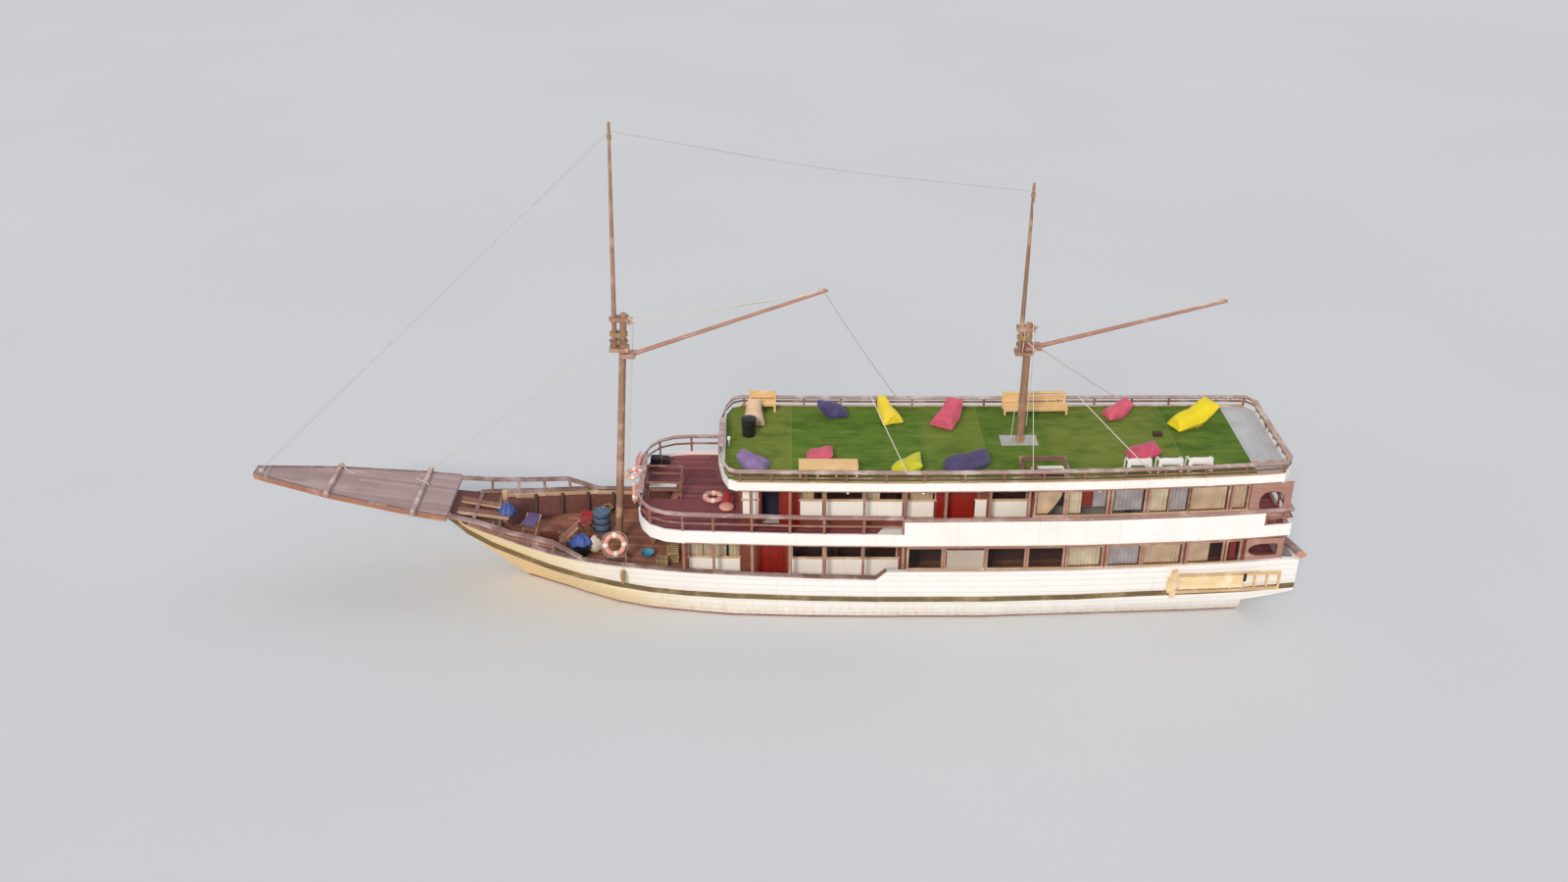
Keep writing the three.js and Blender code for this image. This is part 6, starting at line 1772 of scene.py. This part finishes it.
def garland():
    """Rope that hangs in short swags round the aft rail of the sun deck."""
    places = (10.95, 11.4, 11.9, 12.12, 12.22)
    outline = [(x, -(sun_half(x) - 0.19)) for x in places] + [(x, sun_half(x) - 0.19) for x in places[::-1]]
    lengths = [0.0]
    for a, b in zip(outline, outline[1:]):
        lengths.append(lengths[-1] + math.dist(a, b))
    steps, swag, path = 220, 0.46, []
    for k in range(steps + 1):
        s = lengths[-1] * k / steps
        x, y = (float(np.interp(s, lengths, [p[i] for p in outline])) for i in (0, 1))
        path.append((x, y, rise(x) + SUN_RAIL + 0.05 - 0.15 * (1 - abs(math.sin(math.pi * s / swag)))))
    Shape().tube(path, 0.017, 8).done("aft_rail_garland", tan_rope, "stay_wire", angle=80)


# Screens of the stern walls: name, face, ends and levels of the board, and the centre and half sizes of its
# opening, with the squareness of the opening's fore and aft halves
UPPER_SCREEN = Line([(11.2, upper_wall(11.2)), (12.1, upper_wall(12.1)), (12.5, 2.15)])
LOWER_SCREEN = Line([(11.2, lower_wall(11.2)), (12.3, lower_wall(12.3)), (12.6, lower_wall(12.3) - 0.04)])
SCREENS = [
    ("upper", UPPER_SCREEN, 11.18, 12.46, 3.50, 4.70, (11.86, 4.02, 0.38, 0.37, 2.4, 2.4)),
    ("lower", LOWER_SCREEN, 11.26, 12.44, 2.06, 2.80, (11.80, 2.405, 0.45, 0.21, 2.2, 9.0)),
]


def stern_screens():
    """Brown boards on the stern walls, cut away over each opening: an oval above, a D below."""
    for name, side in SIDES:
        for deck, wall, x0, x1, z0, z1, (cx, cz, rx, rz, round_fore, round_aft) in SCREENS:
            outer, inner = [], []
            for a in circle(56):
                c, s = math.cos(a), math.sin(a)
                u, w = squared_ring(a, round_aft if c > 0 else round_fore)
                inner.append((cx + rx * u, cz + rz * w))
                square = 1 / max(abs(c), abs(s))
                outer.append((cx + (x1 - cx if c > 0 else cx - x0) * c * square,
                              cz + (z1 - cz if s > 0 else cz - z0) * s * square))
            rings = []
            for loop, out in ((outer, 0.004), (outer, 0.034), (inner, 0.034), (inner, 0.004)):
                rings.append([(px, side * (wall(px) + out), pz) for px, pz in loop])
            screen = Shape().loft(rings, around=True)
            screen.done(f"{deck}_stern_screen_{name}", screen_wood, "house_paint", bevel=0.005)


def band_brackets():
    """Small white brackets under the sun deck's band."""
    shape = Shape()
    for x in (-0.9, 1.35, 6.6):
        for _, side in SIDES:
            y0, y1 = sorted((side * (sun_half(x) - 0.06), side * (sun_half(x) - 0.30)))
            z = rise(x) + 4.48
            shape.block(x - 0.03, x + 0.03, y0, y1, z - 0.05, z - 0.002)
    shape.done("band_brackets", white_coat, "white_paint", bevel=0.006)


def upper_deck_gear():
    """Dark boxes by the stair, the lamp on the sun deck's hatch, and a small box on the turf."""
    floor = level(UPPER_FLOOR + 0.01)
    items = Shape().block(-7.15, -6.85, 1.55, 1.85, floor(-7), floor(-7) + 0.339)
    items.block(-6.78, -6.55, 1.7, 1.95, floor(-6.7), floor(-6.7) + 0.259)
    items.done("dark_boxes", black_plastic, "bin_plastic", bevel=0.02)
    lamp = Shape().lathe(LAMP, (-4.50, -0.31, level(SUN_FLOOR)(-4.5)), 20)
    lamp.done("deck_lamp", white_plastic, "white_plastic", angle=50)
    z = turf_z(8.89)
    box = Shape().block(8.74, 9.02, 0.18, 0.38, z + HAIR, z + 0.11)
    box.block(8.75, 9.01, 0.19, 0.37, z + 0.11, z + 0.125)
    box.done("small_box", dark_wood, "brown_wood", bevel=0.008)


# Stage, light and camera
def placed(name, data):
    """A new object in the scene."""
    thing = bpy.data.objects.new(name, data)
    bpy.context.scene.collection.objects.link(thing)
    return thing


def studio():
    """Pale floor, pale sky, and two broad suns."""
    floor, reach = bpy.data.meshes.new("floor"), 300.0
    corners = [(-reach, -reach, 0), (reach, -reach, 0), (reach, reach, 0), (-reach, reach, 0)]
    floor.from_pydata(corners, [], [(0, 1, 2, 3)])
    ground = placed("floor", floor)
    p = Paint("floor", roughness=0.85)
    tone = p.noise(0.05, 3)
    floor.materials.append(p.done(p.mix(tone, rgb(214, 217, 221), rgb(222, 225, 228))))
    world = bpy.data.worlds.new("world")
    world.use_nodes = True
    sky = world.node_tree.nodes["Background"]
    sky.inputs[0].default_value = (*rgb(232, 236, 242), 1.0)
    sky.inputs[1].default_value = 0.58
    bpy.context.scene.world = world
    for name, direction, energy, colour, angle in (
            ("key", (0.28, 0.85, -0.55), 2.0, (255, 244, 230), 14.0),
            ("fill", (-0.6, -0.3, -0.6), 0.35, (226, 234, 250), 40.0)):
        light = bpy.data.lights.new(name, "SUN")
        light.energy = energy
        light.color = rgb(*colour)
        light.angle = math.radians(angle)
        placed(name, light).rotation_euler = Vector(direction).to_track_quat("-Z", "Y").to_euler()
    view = bpy.context.scene.view_settings
    view.view_transform = "Standard"
    view.look = "None"


def camera():
    """Looks to starboard and 28 degrees down, from far out on the port side."""
    data = bpy.data.cameras.new("camera")
    data.sensor_width = 36.0
    data.lens = 33.75
    data.clip_end = 600.0
    eye = placed("camera", data)
    eye.location = (-2.8, -40.4, 26.38)
    eye.rotation_euler = (math.radians(62), 0, 0)
    bpy.context.scene.camera = eye


camera()
studio()
dress_nodes()
window_frames()
hang_curtains()
wall_panels()
front_windows()
door_panels()
door_surrounds()
deck_coverings()
bands()
rail_caps()
sills_and_ramps()
cabin_insides()
awning_panels()
stern_screens()
platform_trim()
platform_lashings()
bulwark_ribs()
bow_rail_boards()
stowed_spars()
bow_timbers()
rope_coil()
life_rings()
foredeck_gear()
fender()
drum()
deck_bin()
for name, *row in BAGS:
    bean_bag(f"bean_bag_{name}", *row)
for row in BENCHES:
    bench(*row)
for number, place in enumerate((7.78, 8.71, 9.60), 1):
    white_chair(f"white_chair_{number}", place, -1.93)
mast_bands()
rig_lines()
stern_plank()
gangway()
garland()
band_brackets()
upper_deck_gear()
